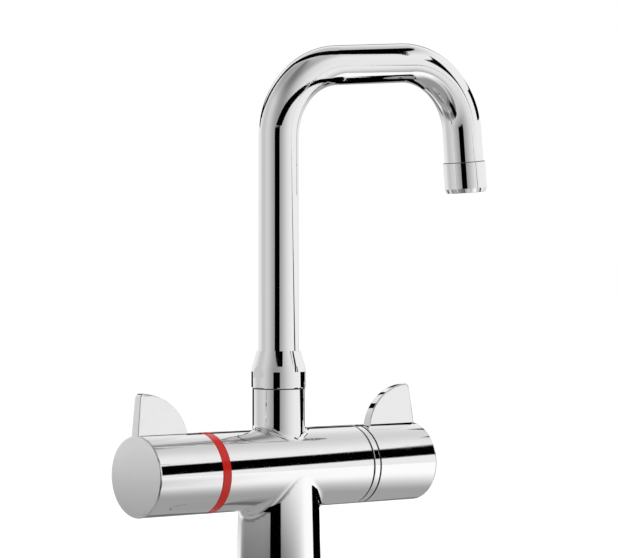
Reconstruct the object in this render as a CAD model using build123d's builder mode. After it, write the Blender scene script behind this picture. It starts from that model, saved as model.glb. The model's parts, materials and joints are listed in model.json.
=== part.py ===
from build123d import *

import os
from math import acos, asin, cos, degrees, radians, sin, sqrt

# Thermostatic mixer tap: pedestal, barrel with two finned handles, swivelling tube spout.
# Origin: centre of the seat on the deck. +Z is up, the barrel lies along X, the user is at -Y.

os.makedirs("parts", exist_ok=True)

barrel_r = 21.8           # outer radius of barrel, rings and handles

# Radii and spans inside the barrel and the handles, as shares of the barrel's radius
barrel_shares = {
    "mouth": 0.7982,
    "chamber": 0.6881,
    "annulus": 0.7798,
    "mixed duct drop": 0.5596,
    "cartridge cavity": 0.5046,
    "cartridge outlet": 0.2248,
    "flange": 0.7798,
    "head": 0.5596,
    "tower": 0.3670,
    "shuttle port pitch": 0.3349,
    "bulb": 0.2064,
    "bulb flange": 0.2844,
    "pin guide": 0.1376,
    "return coil": 0.2546,
    "plunger": 0.3303,
    "regulator": 0.4358,
    "regulator cup": 0.3440,
    "overload coil": 0.2890,
    "spindle": 0.1835,
    "spindle thread": 0.2248,
    "collar": 0.3211,
    "nose": 0.3165,
    "nose outlet": 0.2018,
    "disc chamber": 0.5734,
    "flow annulus": 0.7064,
    "disc": 0.4633,
    "disc cavity": 0.4771,
    "disc port inner": 0.1560,
    "central passage": 0.2294,
    "disc port outer": 0.3853,
    "ring bore": 0.8165,
    "ring hub": 0.9083,
    "nut flange": 0.8578,
    "nut bore": 0.5046,
    "handle bore": 0.8853,
    "hub": 0.3578,
    "stop ring": 0.6193,
    "stop lug": 0.7798,
    "spline side": 0.2936,
}

# Clearances and small features
overrun = 1.0             # extra reach of cuts past a face
thread_gap = 0.1          # between mating threads, drawn plain
slide_gap = 0.07          # radial running clearance of sliding and turning pieces
seat_gap = 0.1            # between pieces that seat without turning
face_gap = 0.05           # between lapped faces that turn on each other
edge_break = 0.4          # chamfer on turned edges

# Casting
axis_height = 95.0        # deck to barrel axis
casting_half = 50.2       # centre to each end face
pedestal_top_r = 21.6     # at the barrel axis
pedestal_base_r = 24.4    # at the deck
stub_r = 14.3
stub_rise = 44.0          # barrel axis to the stub's shoulder
saddle_r = 3.0            # blend between pedestal and barrel
stub_blend_r = 1.6        # blend between stub and barrel
mouth_r = barrel_r * barrel_shares["mouth"]  # threaded mouth at both ends
mouth_s = 37.0            # centre to the mouth's floor

# Deck seat
seal_proud = 0.5          # seal stands out of the casting
seal_inner_r = 17.5
seal_outer_r = 21.5
seal_height = 2.3
base_cavity_r = 15.5
base_cavity_depth = 8.0

# Inlets and check valves
inlet_offset = 7.5        # each inlet from the pedestal axis, along Y
inlet_r = 4.5             # tapping size of the M10 x 1 hose thread
inlet_thread_length = 12.0
check_bore_r = 4.3
check_bore_length = 15.5
duct_r = 2.5              # hot and cold ducts in the pedestal
filter_height = 1.2
filter_hole_r = 0.45
filter_pitch_r = 2.4
filter_hole_count = 10
check_height = 13.0
check_cavity_r = 3.0
check_seat_r = 2.0
check_seat_height = 1.5
check_spider_height = 2.0
check_window_r = 0.8
check_window_pitch_r = 2.0
check_window_count = 3
poppet_r = 2.75
poppet_height = 1.4
poppet_stem_r = 0.8
check_coil_r = 1.9
check_wire_r = 0.25
check_turns = 5

# Under-deck fixing
stud_offset = 11.0        # each stud from the pedestal axis, along X
stud_r = 3.0
stud_depth = 11.5         # in the casting
stud_spare = 6.5          # below the nut on the thickest deck
deck_thickness = 30.0     # as stored
deck_thickness_max = 45.0
rubber_thickness = 3.0
plate_thickness = 2.5
clamp_outer_r = 24.0
nut_across_flats = 10.0
nut_height = 5.0

# Left chamber, distances from the centre along the barrel
chamber_r = barrel_r * barrel_shares["chamber"]
left_floor_s = 3.0
hot_annulus_s = 9.7
cold_annulus_s = 19.3
annulus_width = 5.2
annulus_r = barrel_r * barrel_shares["annulus"]
mixed_duct_drop = barrel_r * barrel_shares["mixed duct drop"]  # duct to the flow end, below the axis
mixed_duct_r = 3.2

# Thermostatic cartridge
cartridge_start_s = 4.3
cartridge_wall_s = 2.3    # thickness of the sleeve's inner end
cartridge_cavity_r = barrel_r * barrel_shares["cartridge cavity"]
cartridge_outlet_r = barrel_r * barrel_shares["cartridge outlet"]
cartridge_flange = 2.0
flange_r = barrel_r * barrel_shares["flange"]
port_r = 1.5
port_count = 8
head_start_s = 31.5
head_r = barrel_r * barrel_shares["head"]
tower_r = barrel_r * barrel_shares["tower"]
tower_end_s = 47.0
o_ring_wire_r = 0.82
o_ring_groove_width = 1.9
o_ring_squash = 0.08      # ring's outside to the bore wall
o_ring_places_s = (5.7, 14.5, 24.0)
shuttle_start_s = 11.4
shuttle_end_s = 17.6
shuttle_web_s = 14.2
shuttle_web = 1.8
shuttle_sleeve = 1.1
shuttle_port_r = 1.5
shuttle_port_pitch_r = barrel_r * barrel_shares["shuttle port pitch"]
shuttle_port_count = 6
bulb_r = barrel_r * barrel_shares["bulb"]
bulb_start_s = 7.8
bulb_end_s = 16.4
bulb_flange_r = barrel_r * barrel_shares["bulb flange"]
bulb_flange = 1.2
pin_guide_r = barrel_r * barrel_shares["pin guide"]
pin_guide_end_s = 18.6
pin_r = 1.5
pin_end_s = 20.2
return_coil_r = barrel_r * barrel_shares["return coil"]
return_wire_r = 0.4
return_turns = 4
plunger_r = barrel_r * barrel_shares["plunger"]
plunger_start_s = 19.6
plunger_thickness = 1.3
regulator_r = barrel_r * barrel_shares["regulator"]
regulator_cup_r = barrel_r * barrel_shares["regulator cup"]
regulator_start_s = 19.8
regulator_floor_s = 24.6
regulator_end_s = 28.6
overload_coil_r = barrel_r * barrel_shares["overload coil"]
overload_wire_r = 0.5
overload_turns = 3

# Spindles; the spline's ends are measured from the handle's inner edge
spindle_r = barrel_r * barrel_shares["spindle"]
spindle_thread_r = barrel_r * barrel_shares["spindle thread"]
spindle_thread_start_s = 25.2
collar_r = barrel_r * barrel_shares["collar"]
collar_start_s = 29.9
collar_end_s = 31.3
spindle_ring_s = 41.8
spindle_ring_wire_r = 0.6
spindle_ring_groove = 1.4
spline_start = 1.6
spline_end = 21.0
spline_side = barrel_r * barrel_shares["spline side"]  # side of each of the spline's three squares
spline_squares = 3

# Flow end
nose_bore_start_s = 18.0
nose_r = barrel_r * barrel_shares["nose"]
nose_end_s = 26.0
nose_outlet_r = barrel_r * barrel_shares["nose outlet"]
disc_chamber_r = barrel_r * barrel_shares["disc chamber"]
flow_annulus_start_s = 27.0
flow_annulus_end_s = 34.0
flow_annulus_r = barrel_r * barrel_shares["flow annulus"]
seal_ring_thickness = 1.4
nose_flange = 2.6
disc_r = barrel_r * barrel_shares["disc"]
disc_cavity_r = barrel_r * barrel_shares["disc cavity"]
fixed_disc = 2.4
moving_disc = 2.6
disc_slot_depth = 1.2
disc_port_inner_r = barrel_r * barrel_shares["disc port inner"]
disc_port_outer_r = barrel_r * barrel_shares["disc port outer"]
disc_port_angle = 72.0
driver_width = 5.0
driver_length = 18.0
driver_end_s = 35.3
window_r = 1.8
window_count = 6
window_s = 32.0
headwork_cavity_end_s = 35.8
central_passage_r = barrel_r * barrel_shares["central passage"]
riser_duct_x = 5.0
riser_duct_r = 5.0

# Rings, retaining nuts and handles; handle, hub, fin, grub screw and stop ring are
# measured from the handle's inner edge
ring_width = 5.4
ring_bore_r = barrel_r * barrel_shares["ring bore"]
ring_hub_r = barrel_r * barrel_shares["ring hub"]
flow_groove = 0.6         # each dark groove beside the plain ring
nut_start_s = 39.1
nut_flange = 1.5
nut_flange_r = barrel_r * barrel_shares["nut flange"]
nut_bore_r = barrel_r * barrel_shares["nut bore"]
nut_slot_width = 3.0
nut_slot_depth = 0.9
nut_slot_count = 4
handle_gap = 0.4
handle_length = 41.6
handle_dome = 0.8
handle_corner_r = 1.2
handle_bore_r = barrel_r * barrel_shares["handle bore"]
handle_wall_s = 6.0       # thickness of the end wall
hub_r = barrel_r * barrel_shares["hub"]
hub_start = 8.0
spline_depth_gap = 1.0
fin_foot = 8.2
fin_top_place = 38.8
fin_rise = 22.0           # above the barrel
fin_arc_along = 31.2      # half axes of the fin's elliptical edge
fin_arc_up = 25.8
fin_corner_r = 2.6
fin_thickness = 6.0
fin_top_thickness = 5.0
fin_lean = 2.0            # degrees, top away from the user
fin_root = 1.6            # depth of the fin's root in the shell
fin_edge_r = 0.7
grub_place = 15.0
grub_r = 2.0
grub_socket_r = 1.1
grub_socket_depth = 1.6
grub_access_r = 2.4
stop_ring_r = barrel_r * barrel_shares["stop ring"]
stop_ring_start = 2.2
stop_ring_end = 5.4
stop_lug_r = barrel_r * barrel_shares["stop lug"]
stop_lug_width = 5.0

# Spout socket, tail and nut, heights above the barrel axis
socket_floor = 24.5
socket_r = 10.4
stub_thread_r = 13.0
stub_thread_top = 51.0
tail_bottom = 26.0
tail_r = 10.3
tail_bore_r = 7.5
tail_spigot_top = 68.0
tail_flange = 2.5
tail_flange_r = 12.6
tail_ring_heights = (30.5, 38.5)
slip_ring_thickness = 1.1
slip_ring_r = 12.9
nut_top = 64.3
nut_r = 14.85
nut_shoulder = 54.8
nut_cone_start = 53.0
nut_cone_mid = 56.0
nut_cone_mid_r = 14.3
nut_top_r = 11.9
nut_flat_half = 14.2
nut_flat_bottom = 49.8
nut_base_gap = 0.15

# Spout tube
tube_r = 11.0
tube_wall = 1.0
riser_top = 180.8         # where the first bend starts
bend_r = 40.5
bend_turn = 86.5          # degrees
outlet_turn = 88.5        # degrees
run_length = 44.5
outlet_length = 17.8
spout_heading = -6.0      # degrees from +X towards +Y, as stored

# Aerator
fitting_thread_r = 10.7
fitting_bore_r = 8.6
fitting_thread_length = 7.0
fitting_spigot = 8.0
aerator_r = 11.9
aerator_length = 17.5
aerator_joint = 0.3
aerator_taper = 2.4
aerator_lip_r = 11.0
aerator_mouth_r = 9.4
aerator_seal_thickness = 1.2
insert_height = 5.5
insert_hole_r = 1.0
insert_pitch = 2.7
insert_rows = 5

# Derived sizes
ring_end_s = casting_half + ring_width
handle_start_s = ring_end_s + handle_gap
spline_start_s = handle_start_s + spline_start
spline_end_s = handle_start_s + spline_end
handle_rim_s = handle_start_s + handle_length
hub_start_s = handle_start_s + hub_start
fin_foot_s = handle_start_s + fin_foot
fin_top_s = handle_start_s + fin_top_place
grub_s = handle_start_s + grub_place
stop_ring_start_s = handle_start_s + stop_ring_start
stop_ring_end_s = handle_start_s + stop_ring_end
tower_bore_r = spindle_r + slide_gap
inlet_floor = seal_proud + base_cavity_depth
check_start = inlet_floor + inlet_thread_length
stud_reach = deck_thickness_max + rubber_thickness + plate_thickness + nut_height + stud_spare
spline_r = spline_side / sqrt(2)

upright = Plane.XZ
barrel_axis = Axis((0, 0, axis_height), (1, 0, 0))
sides = {"left": -1, "right": 1}


def side_plane(side):
    """Lengthwise plane through the barrel axis: x runs outwards along one side, y up."""
    return Plane(origin=(0, 0, axis_height), x_dir=(side, 0, 0), z_dir=(0, -side, 0))


def cross_plane(side, distance):
    """Plane across the barrel at a distance from its centre, facing outwards."""
    return Plane(
        origin=(side * distance, 0, axis_height), x_dir=(0, side, 0), z_dir=(side, 0, 0)
    )


def lathe(outline, plane, axis, mode=Mode.ADD):
    """Turn a closed outline about an axis."""
    with BuildSketch(plane) as profile:
        with BuildLine():
            Polyline(*outline, close=True)
        make_face()
    revolve(profile.sketch, axis=axis, mode=mode)


def turned(side, outline, mode=Mode.ADD):
    """Turn an outline of (distance, radius) points about the barrel axis."""
    lathe(outline, side_plane(side), barrel_axis, mode)


def tube_outline(start, end, inner, outer):
    """Outline of a plain ring between two distances along its axis."""
    return [(start, inner), (start, outer), (end, outer), (end, inner)]


def upright_ring(bottom, top, inner, outer, mode=Mode.ADD):
    """Ring about the tower axis."""
    outline = [(r, z) for z, r in tube_outline(bottom, top, inner, outer)]
    lathe(outline, upright, Axis.Z, mode)


def radial_ports(side, distance, count, radius, reach, mode=Mode.SUBTRACT):
    """Round holes through a sleeve's wall, spaced round the barrel axis."""
    for index in range(count):
        angle = radians(360 * index / count)
        way = (0, sin(angle), cos(angle))
        start = Plane(origin=(side * distance, 0, axis_height), z_dir=way)
        with BuildSketch(start) as port:
            Circle(radius)
        extrude(port.sketch, amount=reach, mode=mode)


def coil(plane, radius, wire, height, turns):
    """Round-wire compression spring standing on a plane."""
    pitch = (height - 2 * wire) / turns
    base = plane.offset(wire)
    rise = Helix(pitch, turns * pitch, radius, mode=Mode.PRIVATE)
    path = base.from_local_coords(rise)
    with BuildSketch(Plane(origin=path @ 0, z_dir=path % 0)) as section:
        Circle(wire)
    sweep(section.sketch, path=path)


def o_ring(side, distance, radius, wire):
    """Round seal about the barrel axis."""
    with BuildSketch(side_plane(side)) as section:
        with Locations((distance, radius)):
            Circle(wire)
    revolve(section.sketch, axis=barrel_axis)


def spline_sketch(plane, gap):
    """Twelve-pointed spline section made of turned squares."""
    with BuildSketch(plane) as section:
        for index in range(spline_squares):
            Rectangle(
                spline_side + 2 * gap,
                spline_side + 2 * gap,
                rotation=90 * index / spline_squares,
            )
    return section.sketch


def save(builder, name):
    """Label a finished piece and write it."""
    builder.part.label = name
    export_step(builder.part, "parts/" + name + ".step")


# Casting: pedestal and barrel blended at the saddle, stub on top, chambers inside
with BuildPart() as mixer_body:
    lathe(
        [
            (0, seal_proud),
            (pedestal_base_r, seal_proud),
            (pedestal_top_r, axis_height),
            (0, axis_height),
        ],
        upright,
        Axis.Z,
    )
    turned(
        sides["right"],
        [(-casting_half, 0), (-casting_half, barrel_r), (casting_half, barrel_r), (casting_half, 0)],
    )
    saddle = mixer_body.edges().filter_by(GeomType.BSPLINE)
    fillet(saddle, radius=saddle_r)
    lathe(
        [
            (0, axis_height),
            (stub_r, axis_height),
            (stub_r, axis_height + stub_rise),
            (0, axis_height + stub_rise),
        ],
        upright,
        Axis.Z,
    )
    stub_crease = mixer_body.edges().filter_by(GeomType.BSPLINE).filter_by_position(
        Axis.Z, axis_height + socket_r, axis_height + stub_rise
    )
    fillet(stub_crease, radius=stub_blend_r)
    upright_ring(
        axis_height + stub_rise - overrun, axis_height + stub_thread_top, 0, stub_thread_r
    )

    # Underside: seal groove, cavity, sockets and stud holes
    upright_ring(
        seal_proud - overrun,
        seal_height,
        seal_inner_r - seat_gap,
        seal_outer_r + seat_gap,
        Mode.SUBTRACT,
    )
    upright_ring(
        seal_proud - overrun, inlet_floor, 0, base_cavity_r, Mode.SUBTRACT
    )
    with BuildSketch(Plane.XY.offset(inlet_floor - overrun)) as stud_holes:
        with Locations((stud_offset, 0), (-stud_offset, 0)):
            Circle(stud_r + seat_gap)
    extrude(
        stud_holes.sketch, amount=stud_depth + seat_gap + overrun, mode=Mode.SUBTRACT
    )
    for way, annulus_s in ((-1, hot_annulus_s), (1, cold_annulus_s)):
        mouth = (0, way * inlet_offset, inlet_floor - overrun)
        with BuildSketch(Plane(origin=mouth, z_dir=(0, 0, 1))) as thread:
            Circle(inlet_r)
        extrude(thread.sketch, amount=inlet_thread_length + overrun, mode=Mode.SUBTRACT)
        with BuildSketch(Plane(origin=mouth, z_dir=(0, 0, 1))) as check_bore:
            Circle(check_bore_r)
        extrude(
            check_bore.sketch,
            amount=inlet_thread_length + check_bore_length + overrun,
            mode=Mode.SUBTRACT,
        )
        bend = Vector(0, way * inlet_offset, check_start + check_bore_length - duct_r)
        target = Vector(
            -annulus_s,
            way * inlet_offset,
            axis_height - sqrt(chamber_r**2 - inlet_offset**2),
        )
        with BuildSketch(Plane(origin=bend, z_dir=target - bend)) as duct:
            Circle(duct_r)
        extrude(duct.sketch, amount=(target - bend).length, mode=Mode.SUBTRACT)

    # Temperature end: cartridge chamber with the hot and cold rings
    turned(
        sides["left"],
        [
            (left_floor_s, 0),
            (left_floor_s, chamber_r),
            (mouth_s, chamber_r),
            (mouth_s, mouth_r),
            (casting_half + overrun, mouth_r),
            (casting_half + overrun, 0),
        ],
        Mode.SUBTRACT,
    )
    for annulus_s in (hot_annulus_s, cold_annulus_s):
        start = annulus_s - annulus_width / 2
        turned(
            sides["left"],
            tube_outline(start, start + annulus_width, 0, annulus_r),
            Mode.SUBTRACT,
        )

    # Flow end: nose bore, disc chamber and inlet ring
    turned(
        sides["right"],
        [
            (nose_bore_start_s, 0),
            (nose_bore_start_s, nose_r + seat_gap),
            (nose_end_s, nose_r + seat_gap),
            (nose_end_s, disc_chamber_r),
            (flow_annulus_start_s, disc_chamber_r),
            (flow_annulus_start_s, flow_annulus_r),
            (flow_annulus_end_s, flow_annulus_r),
            (flow_annulus_end_s, disc_chamber_r),
            (mouth_s, disc_chamber_r),
            (mouth_s, mouth_r),
            (casting_half + overrun, mouth_r),
            (casting_half + overrun, 0),
        ],
        Mode.SUBTRACT,
    )
    turned(
        sides["right"],
        tube_outline(riser_duct_x, nose_bore_start_s + overrun, 0, central_passage_r),
        Mode.SUBTRACT,
    )
    with BuildSketch(Plane((riser_duct_x, 0, axis_height))) as riser_duct:
        Circle(riser_duct_r)
    extrude(riser_duct.sketch, amount=socket_floor + overrun, mode=Mode.SUBTRACT)
    duct_start = Plane(
        origin=(-left_floor_s - overrun, 0, axis_height - mixed_duct_drop), z_dir=(1, 0, 0)
    )
    with BuildSketch(duct_start) as mixed_duct:
        Circle(mixed_duct_r)
    extrude(
        mixed_duct.sketch,
        amount=left_floor_s + flow_annulus_start_s + 2 * overrun,
        mode=Mode.SUBTRACT,
    )
    upright_ring(
        axis_height + socket_floor,
        axis_height + stub_thread_top + overrun,
        0,
        socket_r,
        Mode.SUBTRACT,
    )
save(mixer_body, "mixer_body")

# Seal under the pedestal
with BuildPart() as base_seal:
    upright_ring(0, seal_height, seal_inner_r, seal_outer_r)
save(base_seal, "base_seal")

# Check valves and filters in the two inlets
for way, water in ((-1, "hot"), (1, "cold")):
    inlet_axis = Axis((0, way * inlet_offset, 0), (0, 0, 1))
    inlet_plane = Plane(
        origin=(0, way * inlet_offset, check_start), x_dir=(1, 0, 0), z_dir=(0, -1, 0)
    )
    filter_plane = Plane((0, way * inlet_offset, check_start))
    check_plane = filter_plane.offset(filter_height)
    seat_top = check_seat_height
    check_top = check_height - check_spider_height

    with BuildPart() as inlet_filter:
        with BuildSketch(filter_plane):
            Circle(check_bore_r - seat_gap)
            Circle(filter_hole_r, mode=Mode.SUBTRACT)
            with PolarLocations(filter_pitch_r, filter_hole_count):
                Circle(filter_hole_r, mode=Mode.SUBTRACT)
        extrude(amount=filter_height - face_gap)
    save(inlet_filter, water + "_inlet_filter")

    with BuildPart() as check_housing:
        with BuildSketch(check_plane):
            Circle(check_bore_r - seat_gap)
        extrude(amount=check_height)
        with BuildSketch(check_plane):
            Circle(check_seat_r)
        extrude(amount=check_height - check_spider_height, mode=Mode.SUBTRACT)
        with BuildSketch(check_plane.offset(seat_top)):
            Circle(check_cavity_r)
        extrude(amount=check_top - seat_top, mode=Mode.SUBTRACT)
        with BuildSketch(check_plane.offset(check_top)):
            Circle(poppet_stem_r + seat_gap)
            with PolarLocations(check_window_pitch_r, check_window_count):
                Circle(check_window_r)
        extrude(amount=check_spider_height, mode=Mode.SUBTRACT)
    save(check_housing, water + "_check_housing")

    poppet_start = filter_height + seat_top + face_gap
    stem_top = filter_height + check_height - check_spider_height / 2
    with BuildPart() as check_poppet:
        lathe(
            [
                (0, poppet_start),
                (poppet_r, poppet_start),
                (poppet_r, poppet_start + poppet_height),
                (poppet_stem_r, poppet_start + poppet_height),
                (poppet_stem_r, stem_top),
                (0, stem_top),
            ],
            inlet_plane,
            inlet_axis,
        )
    save(check_poppet, water + "_check_poppet")

    coil_start = poppet_start + poppet_height + face_gap
    coil_height = filter_height + check_top - face_gap - coil_start
    with BuildPart() as check_spring:
        coil(
            filter_plane.offset(coil_start),
            check_coil_r,
            check_wire_r,
            coil_height,
            check_turns,
        )
    save(check_spring, water + "_check_spring")

# Fixing below the deck
with BuildPart() as fixing_studs:
    with BuildSketch(Plane.XY.offset(-stud_reach)):
        with Locations((stud_offset, 0), (-stud_offset, 0)):
            Circle(stud_r)
    extrude(amount=stud_reach + inlet_floor + stud_depth)
    stud_ends = fixing_studs.edges().filter_by(GeomType.CIRCLE).group_by(Axis.Z)[0]
    chamfer(stud_ends, length=edge_break)
save(fixing_studs, "fixing_studs")


def clamp_outline(plane, outer_r, gap):
    """Disc with two stud holes and a slot for the two hoses."""
    with BuildSketch(plane) as section:
        Circle(outer_r)
        with Locations((stud_offset, 0), (-stud_offset, 0)):
            Circle(stud_r + gap, mode=Mode.SUBTRACT)
        hose_slot = inlet_offset + inlet_r + gap
        SlotOverall(
            2 * (hose_slot + stud_r), 2 * (stud_offset - 2 * stud_r), rotation=90,
            mode=Mode.SUBTRACT,
        )
    return section.sketch


clamp_top = Plane.XY.offset(-deck_thickness)
rubber_bottom = clamp_top.offset(-rubber_thickness)
plate_bottom = rubber_bottom.offset(-plate_thickness)
nut_bottom = plate_bottom.offset(-nut_height)
with BuildPart() as clamp_rubber:
    extrude(clamp_outline(rubber_bottom, clamp_outer_r, seat_gap), amount=rubber_thickness)
save(clamp_rubber, "clamp_rubber")

with BuildPart() as clamp_plate:
    extrude(clamp_outline(plate_bottom, clamp_outer_r, seat_gap), amount=plate_thickness)
    rim = clamp_plate.edges().filter_by(GeomType.CIRCLE).group_by(Axis.Z)[0]
    chamfer(rim.sort_by(SortBy.RADIUS)[-1:], length=edge_break)
save(clamp_plate, "clamp_plate")

with BuildPart() as fixing_nuts:
    with BuildSketch(nut_bottom):
        with Locations((stud_offset, 0), (-stud_offset, 0)):
            RegularPolygon(nut_across_flats / 2, 6, major_radius=False)
            Circle(stud_r + slide_gap, mode=Mode.SUBTRACT)
    extrude(amount=nut_height)
save(fixing_nuts, "fixing_nuts")

# Thermostatic cartridge: sleeve with hot and cold ports and three seals
cavity_start_s = cartridge_start_s + cartridge_wall_s
head_end_s = mouth_s + cartridge_flange
with BuildPart() as cartridge_housing:
    turned(
        sides["left"],
        [
            (cartridge_start_s, cartridge_outlet_r),
            (cartridge_start_s, chamber_r - seat_gap),
            (mouth_s, chamber_r - seat_gap),
            (mouth_s, flange_r),
            (head_end_s, flange_r),
            (head_end_s, head_r + thread_gap),
            (head_start_s, head_r + thread_gap),
            (head_start_s, cartridge_cavity_r),
            (cavity_start_s, cartridge_cavity_r),
            (cavity_start_s, cartridge_outlet_r),
        ],
    )
    for place in o_ring_places_s:
        turned(
            sides["left"],
            tube_outline(
                place - o_ring_groove_width / 2,
                place + o_ring_groove_width / 2,
                chamber_r - o_ring_squash - 2 * o_ring_wire_r - face_gap,
                chamber_r,
            ),
            Mode.SUBTRACT,
        )
    for annulus_s in (hot_annulus_s, cold_annulus_s):
        radial_ports(sides["left"], annulus_s, port_count, port_r, chamber_r)
save(cartridge_housing, "cartridge_housing")

with BuildPart() as cartridge_o_rings:
    for place in o_ring_places_s:
        o_ring(
            sides["left"],
            place,
            chamber_r - o_ring_squash - o_ring_wire_r,
            o_ring_wire_r,
        )
save(cartridge_o_rings, "cartridge_o_rings")

with BuildPart() as cartridge_head:
    turned(
        sides["left"],
        [
            (head_start_s, tower_bore_r),
            (head_start_s, head_r),
            (head_end_s, head_r),
            (head_end_s, tower_r),
            (tower_end_s, tower_r),
            (tower_end_s, tower_bore_r),
        ],
    )
    tower_rim = cartridge_head.edges().filter_by(GeomType.CIRCLE).group_by(Axis.X)[0]
    chamfer(tower_rim.sort_by(SortBy.RADIUS)[-1:], length=edge_break)
save(cartridge_head, "cartridge_head")

with BuildPart() as thermostat_shuttle:
    shuttle_r = cartridge_cavity_r - slide_gap
    turned(
        sides["left"],
        [
            (shuttle_start_s, shuttle_r - shuttle_sleeve),
            (shuttle_start_s, shuttle_r),
            (shuttle_end_s, shuttle_r),
            (shuttle_end_s, shuttle_r - shuttle_sleeve),
            (shuttle_web_s + shuttle_web, shuttle_r - shuttle_sleeve),
            (shuttle_web_s + shuttle_web, bulb_r + seat_gap),
            (shuttle_web_s, bulb_r + seat_gap),
            (shuttle_web_s, shuttle_r - shuttle_sleeve),
        ],
    )
    with BuildSketch(cross_plane(sides["left"], shuttle_web_s)):
        with PolarLocations(shuttle_port_pitch_r + seat_gap, shuttle_port_count):
            Circle(shuttle_port_r)
    extrude(amount=shuttle_web, mode=Mode.SUBTRACT)
save(thermostat_shuttle, "thermostat_shuttle")

with BuildPart() as wax_element:
    turned(
        sides["left"],
        [
            (bulb_start_s, 0),
            (bulb_start_s, bulb_r),
            (shuttle_web_s - bulb_flange, bulb_r),
            (shuttle_web_s - bulb_flange, bulb_flange_r - edge_break),
            (shuttle_web_s, bulb_flange_r - edge_break),
            (shuttle_web_s, bulb_r),
            (bulb_end_s, bulb_r),
            (bulb_end_s, pin_guide_r),
            (pin_guide_end_s, pin_guide_r),
            (pin_guide_end_s, pin_r),
            (pin_end_s, pin_r),
            (pin_end_s, 0),
        ],
    )
save(wax_element, "wax_element")

with BuildPart() as return_spring:
    coil(
        cross_plane(sides["left"], cavity_start_s + face_gap),
        return_coil_r,
        return_wire_r,
        shuttle_web_s - bulb_flange - cavity_start_s - 2 * face_gap,
        return_turns,
    )
save(return_spring, "return_spring")

with BuildPart() as overload_plunger:
    plunger_end_s = plunger_start_s + plunger_thickness
    socket_end_s = pin_end_s + face_gap
    turned(
        sides["left"],
        [
            (plunger_start_s, pin_r + face_gap),
            (plunger_start_s, plunger_r),
            (plunger_end_s, plunger_r),
            (plunger_end_s, 0),
            (socket_end_s, 0),
            (socket_end_s, pin_r + face_gap),
        ],
    )
save(overload_plunger, "overload_plunger")

with BuildPart() as regulating_nut:
    turned(
        sides["left"],
        [
            (regulator_start_s, regulator_cup_r),
            (regulator_start_s, regulator_r),
            (regulator_end_s, regulator_r),
            (regulator_end_s, spindle_thread_r + slide_gap),
            (regulator_floor_s, spindle_thread_r + slide_gap),
            (regulator_floor_s, regulator_cup_r),
        ],
    )
save(regulating_nut, "regulating_nut")

with BuildPart() as overload_spring:
    coil(
        cross_plane(sides["left"], plunger_end_s + face_gap),
        overload_coil_r,
        overload_wire_r,
        regulator_floor_s - plunger_end_s - 2 * face_gap,
        overload_turns,
    )
save(overload_spring, "overload_spring")


def spindle_outline(inner_steps):
    """Outline of a spindle: its inner steps, the shaft with a seal groove, the spline's core."""
    groove_r = tower_bore_r - 2 * spindle_ring_wire_r - face_gap
    groove_start = spindle_ring_s - spindle_ring_groove / 2
    groove_end = spindle_ring_s + spindle_ring_groove / 2
    return inner_steps + [
        (groove_start, spindle_r),
        (groove_start, groove_r),
        (groove_end, groove_r),
        (groove_end, spindle_r),
        (spline_start_s, spindle_r),
        (spline_start_s, 0),
    ]


def spline(side):
    """Splined outer end of a spindle."""
    section = spline_sketch(cross_plane(side, spline_start_s), 0)
    extrude(section, amount=spline_end_s - spline_start_s)


with BuildPart() as temperature_spindle:
    turned(
        sides["left"],
        spindle_outline(
            [
                (spindle_thread_start_s, 0),
                (spindle_thread_start_s, spindle_thread_r),
                (collar_start_s, spindle_thread_r),
                (collar_start_s, collar_r),
                (collar_end_s, collar_r),
                (collar_end_s, spindle_r),
            ]
        ),
    )
    spline(sides["left"])
save(temperature_spindle, "temperature_spindle")

spindle_rings = {
    "left": "temperature_spindle_o_ring",
    "right": "flow_spindle_o_ring",
}
for side_name, ring_name in spindle_rings.items():
    with BuildPart() as spindle_ring:
        o_ring(
            sides[side_name],
            spindle_ring_s,
            tower_bore_r - spindle_ring_wire_r - face_gap / 2,
            spindle_ring_wire_r,
        )
    save(spindle_ring, ring_name)

# Flow end: nose, fixed disc, moving disc, driver and windowed body
nose_flange_end_s = nose_end_s + nose_flange
nose_start_s = nose_bore_start_s + seal_ring_thickness
with BuildPart() as headwork_seal:
    turned(
        sides["right"],
        tube_outline(nose_bore_start_s, nose_start_s, central_passage_r, nose_r),
    )
save(headwork_seal, "headwork_seal")

with BuildPart() as headwork_nose:
    turned(
        sides["right"],
        [
            (nose_start_s, nose_outlet_r),
            (nose_start_s, nose_r),
            (nose_end_s, nose_r),
            (nose_end_s, disc_chamber_r - seat_gap),
            (nose_flange_end_s, disc_chamber_r - seat_gap),
            (nose_flange_end_s, disc_port_outer_r),
            (nose_flange_end_s - nose_flange / 2, disc_port_outer_r),
            (nose_flange_end_s - nose_flange / 2, nose_outlet_r),
        ],
    )
save(headwork_nose, "headwork_nose")


def sector_ports(plane, start_angle):
    """Two opposite ring-sector openings."""
    with BuildSketch(plane) as ports:
        for turn in (0, 180):
            with BuildLine():
                low = start_angle + turn - disc_port_angle / 2
                outer = CenterArc((0, 0), disc_port_outer_r, low, disc_port_angle)
                inner = CenterArc((0, 0), disc_port_inner_r, low, disc_port_angle)
                Line(outer @ 0, inner @ 0)
                Line(outer @ 1, inner @ 1)
            make_face()
    return ports.sketch


fixed_start_s = nose_flange_end_s
fixed_end_s = fixed_start_s + fixed_disc
moving_start_s = fixed_end_s + face_gap
moving_end_s = moving_start_s + moving_disc
with BuildPart() as fixed_ceramic_disc:
    turned(sides["right"], tube_outline(fixed_start_s, fixed_end_s, 0, disc_r))
    fixed_ports = sector_ports(cross_plane(sides["right"], fixed_start_s), 90)
    extrude(fixed_ports, amount=fixed_disc, mode=Mode.SUBTRACT)
save(fixed_ceramic_disc, "fixed_ceramic_disc")

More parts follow.
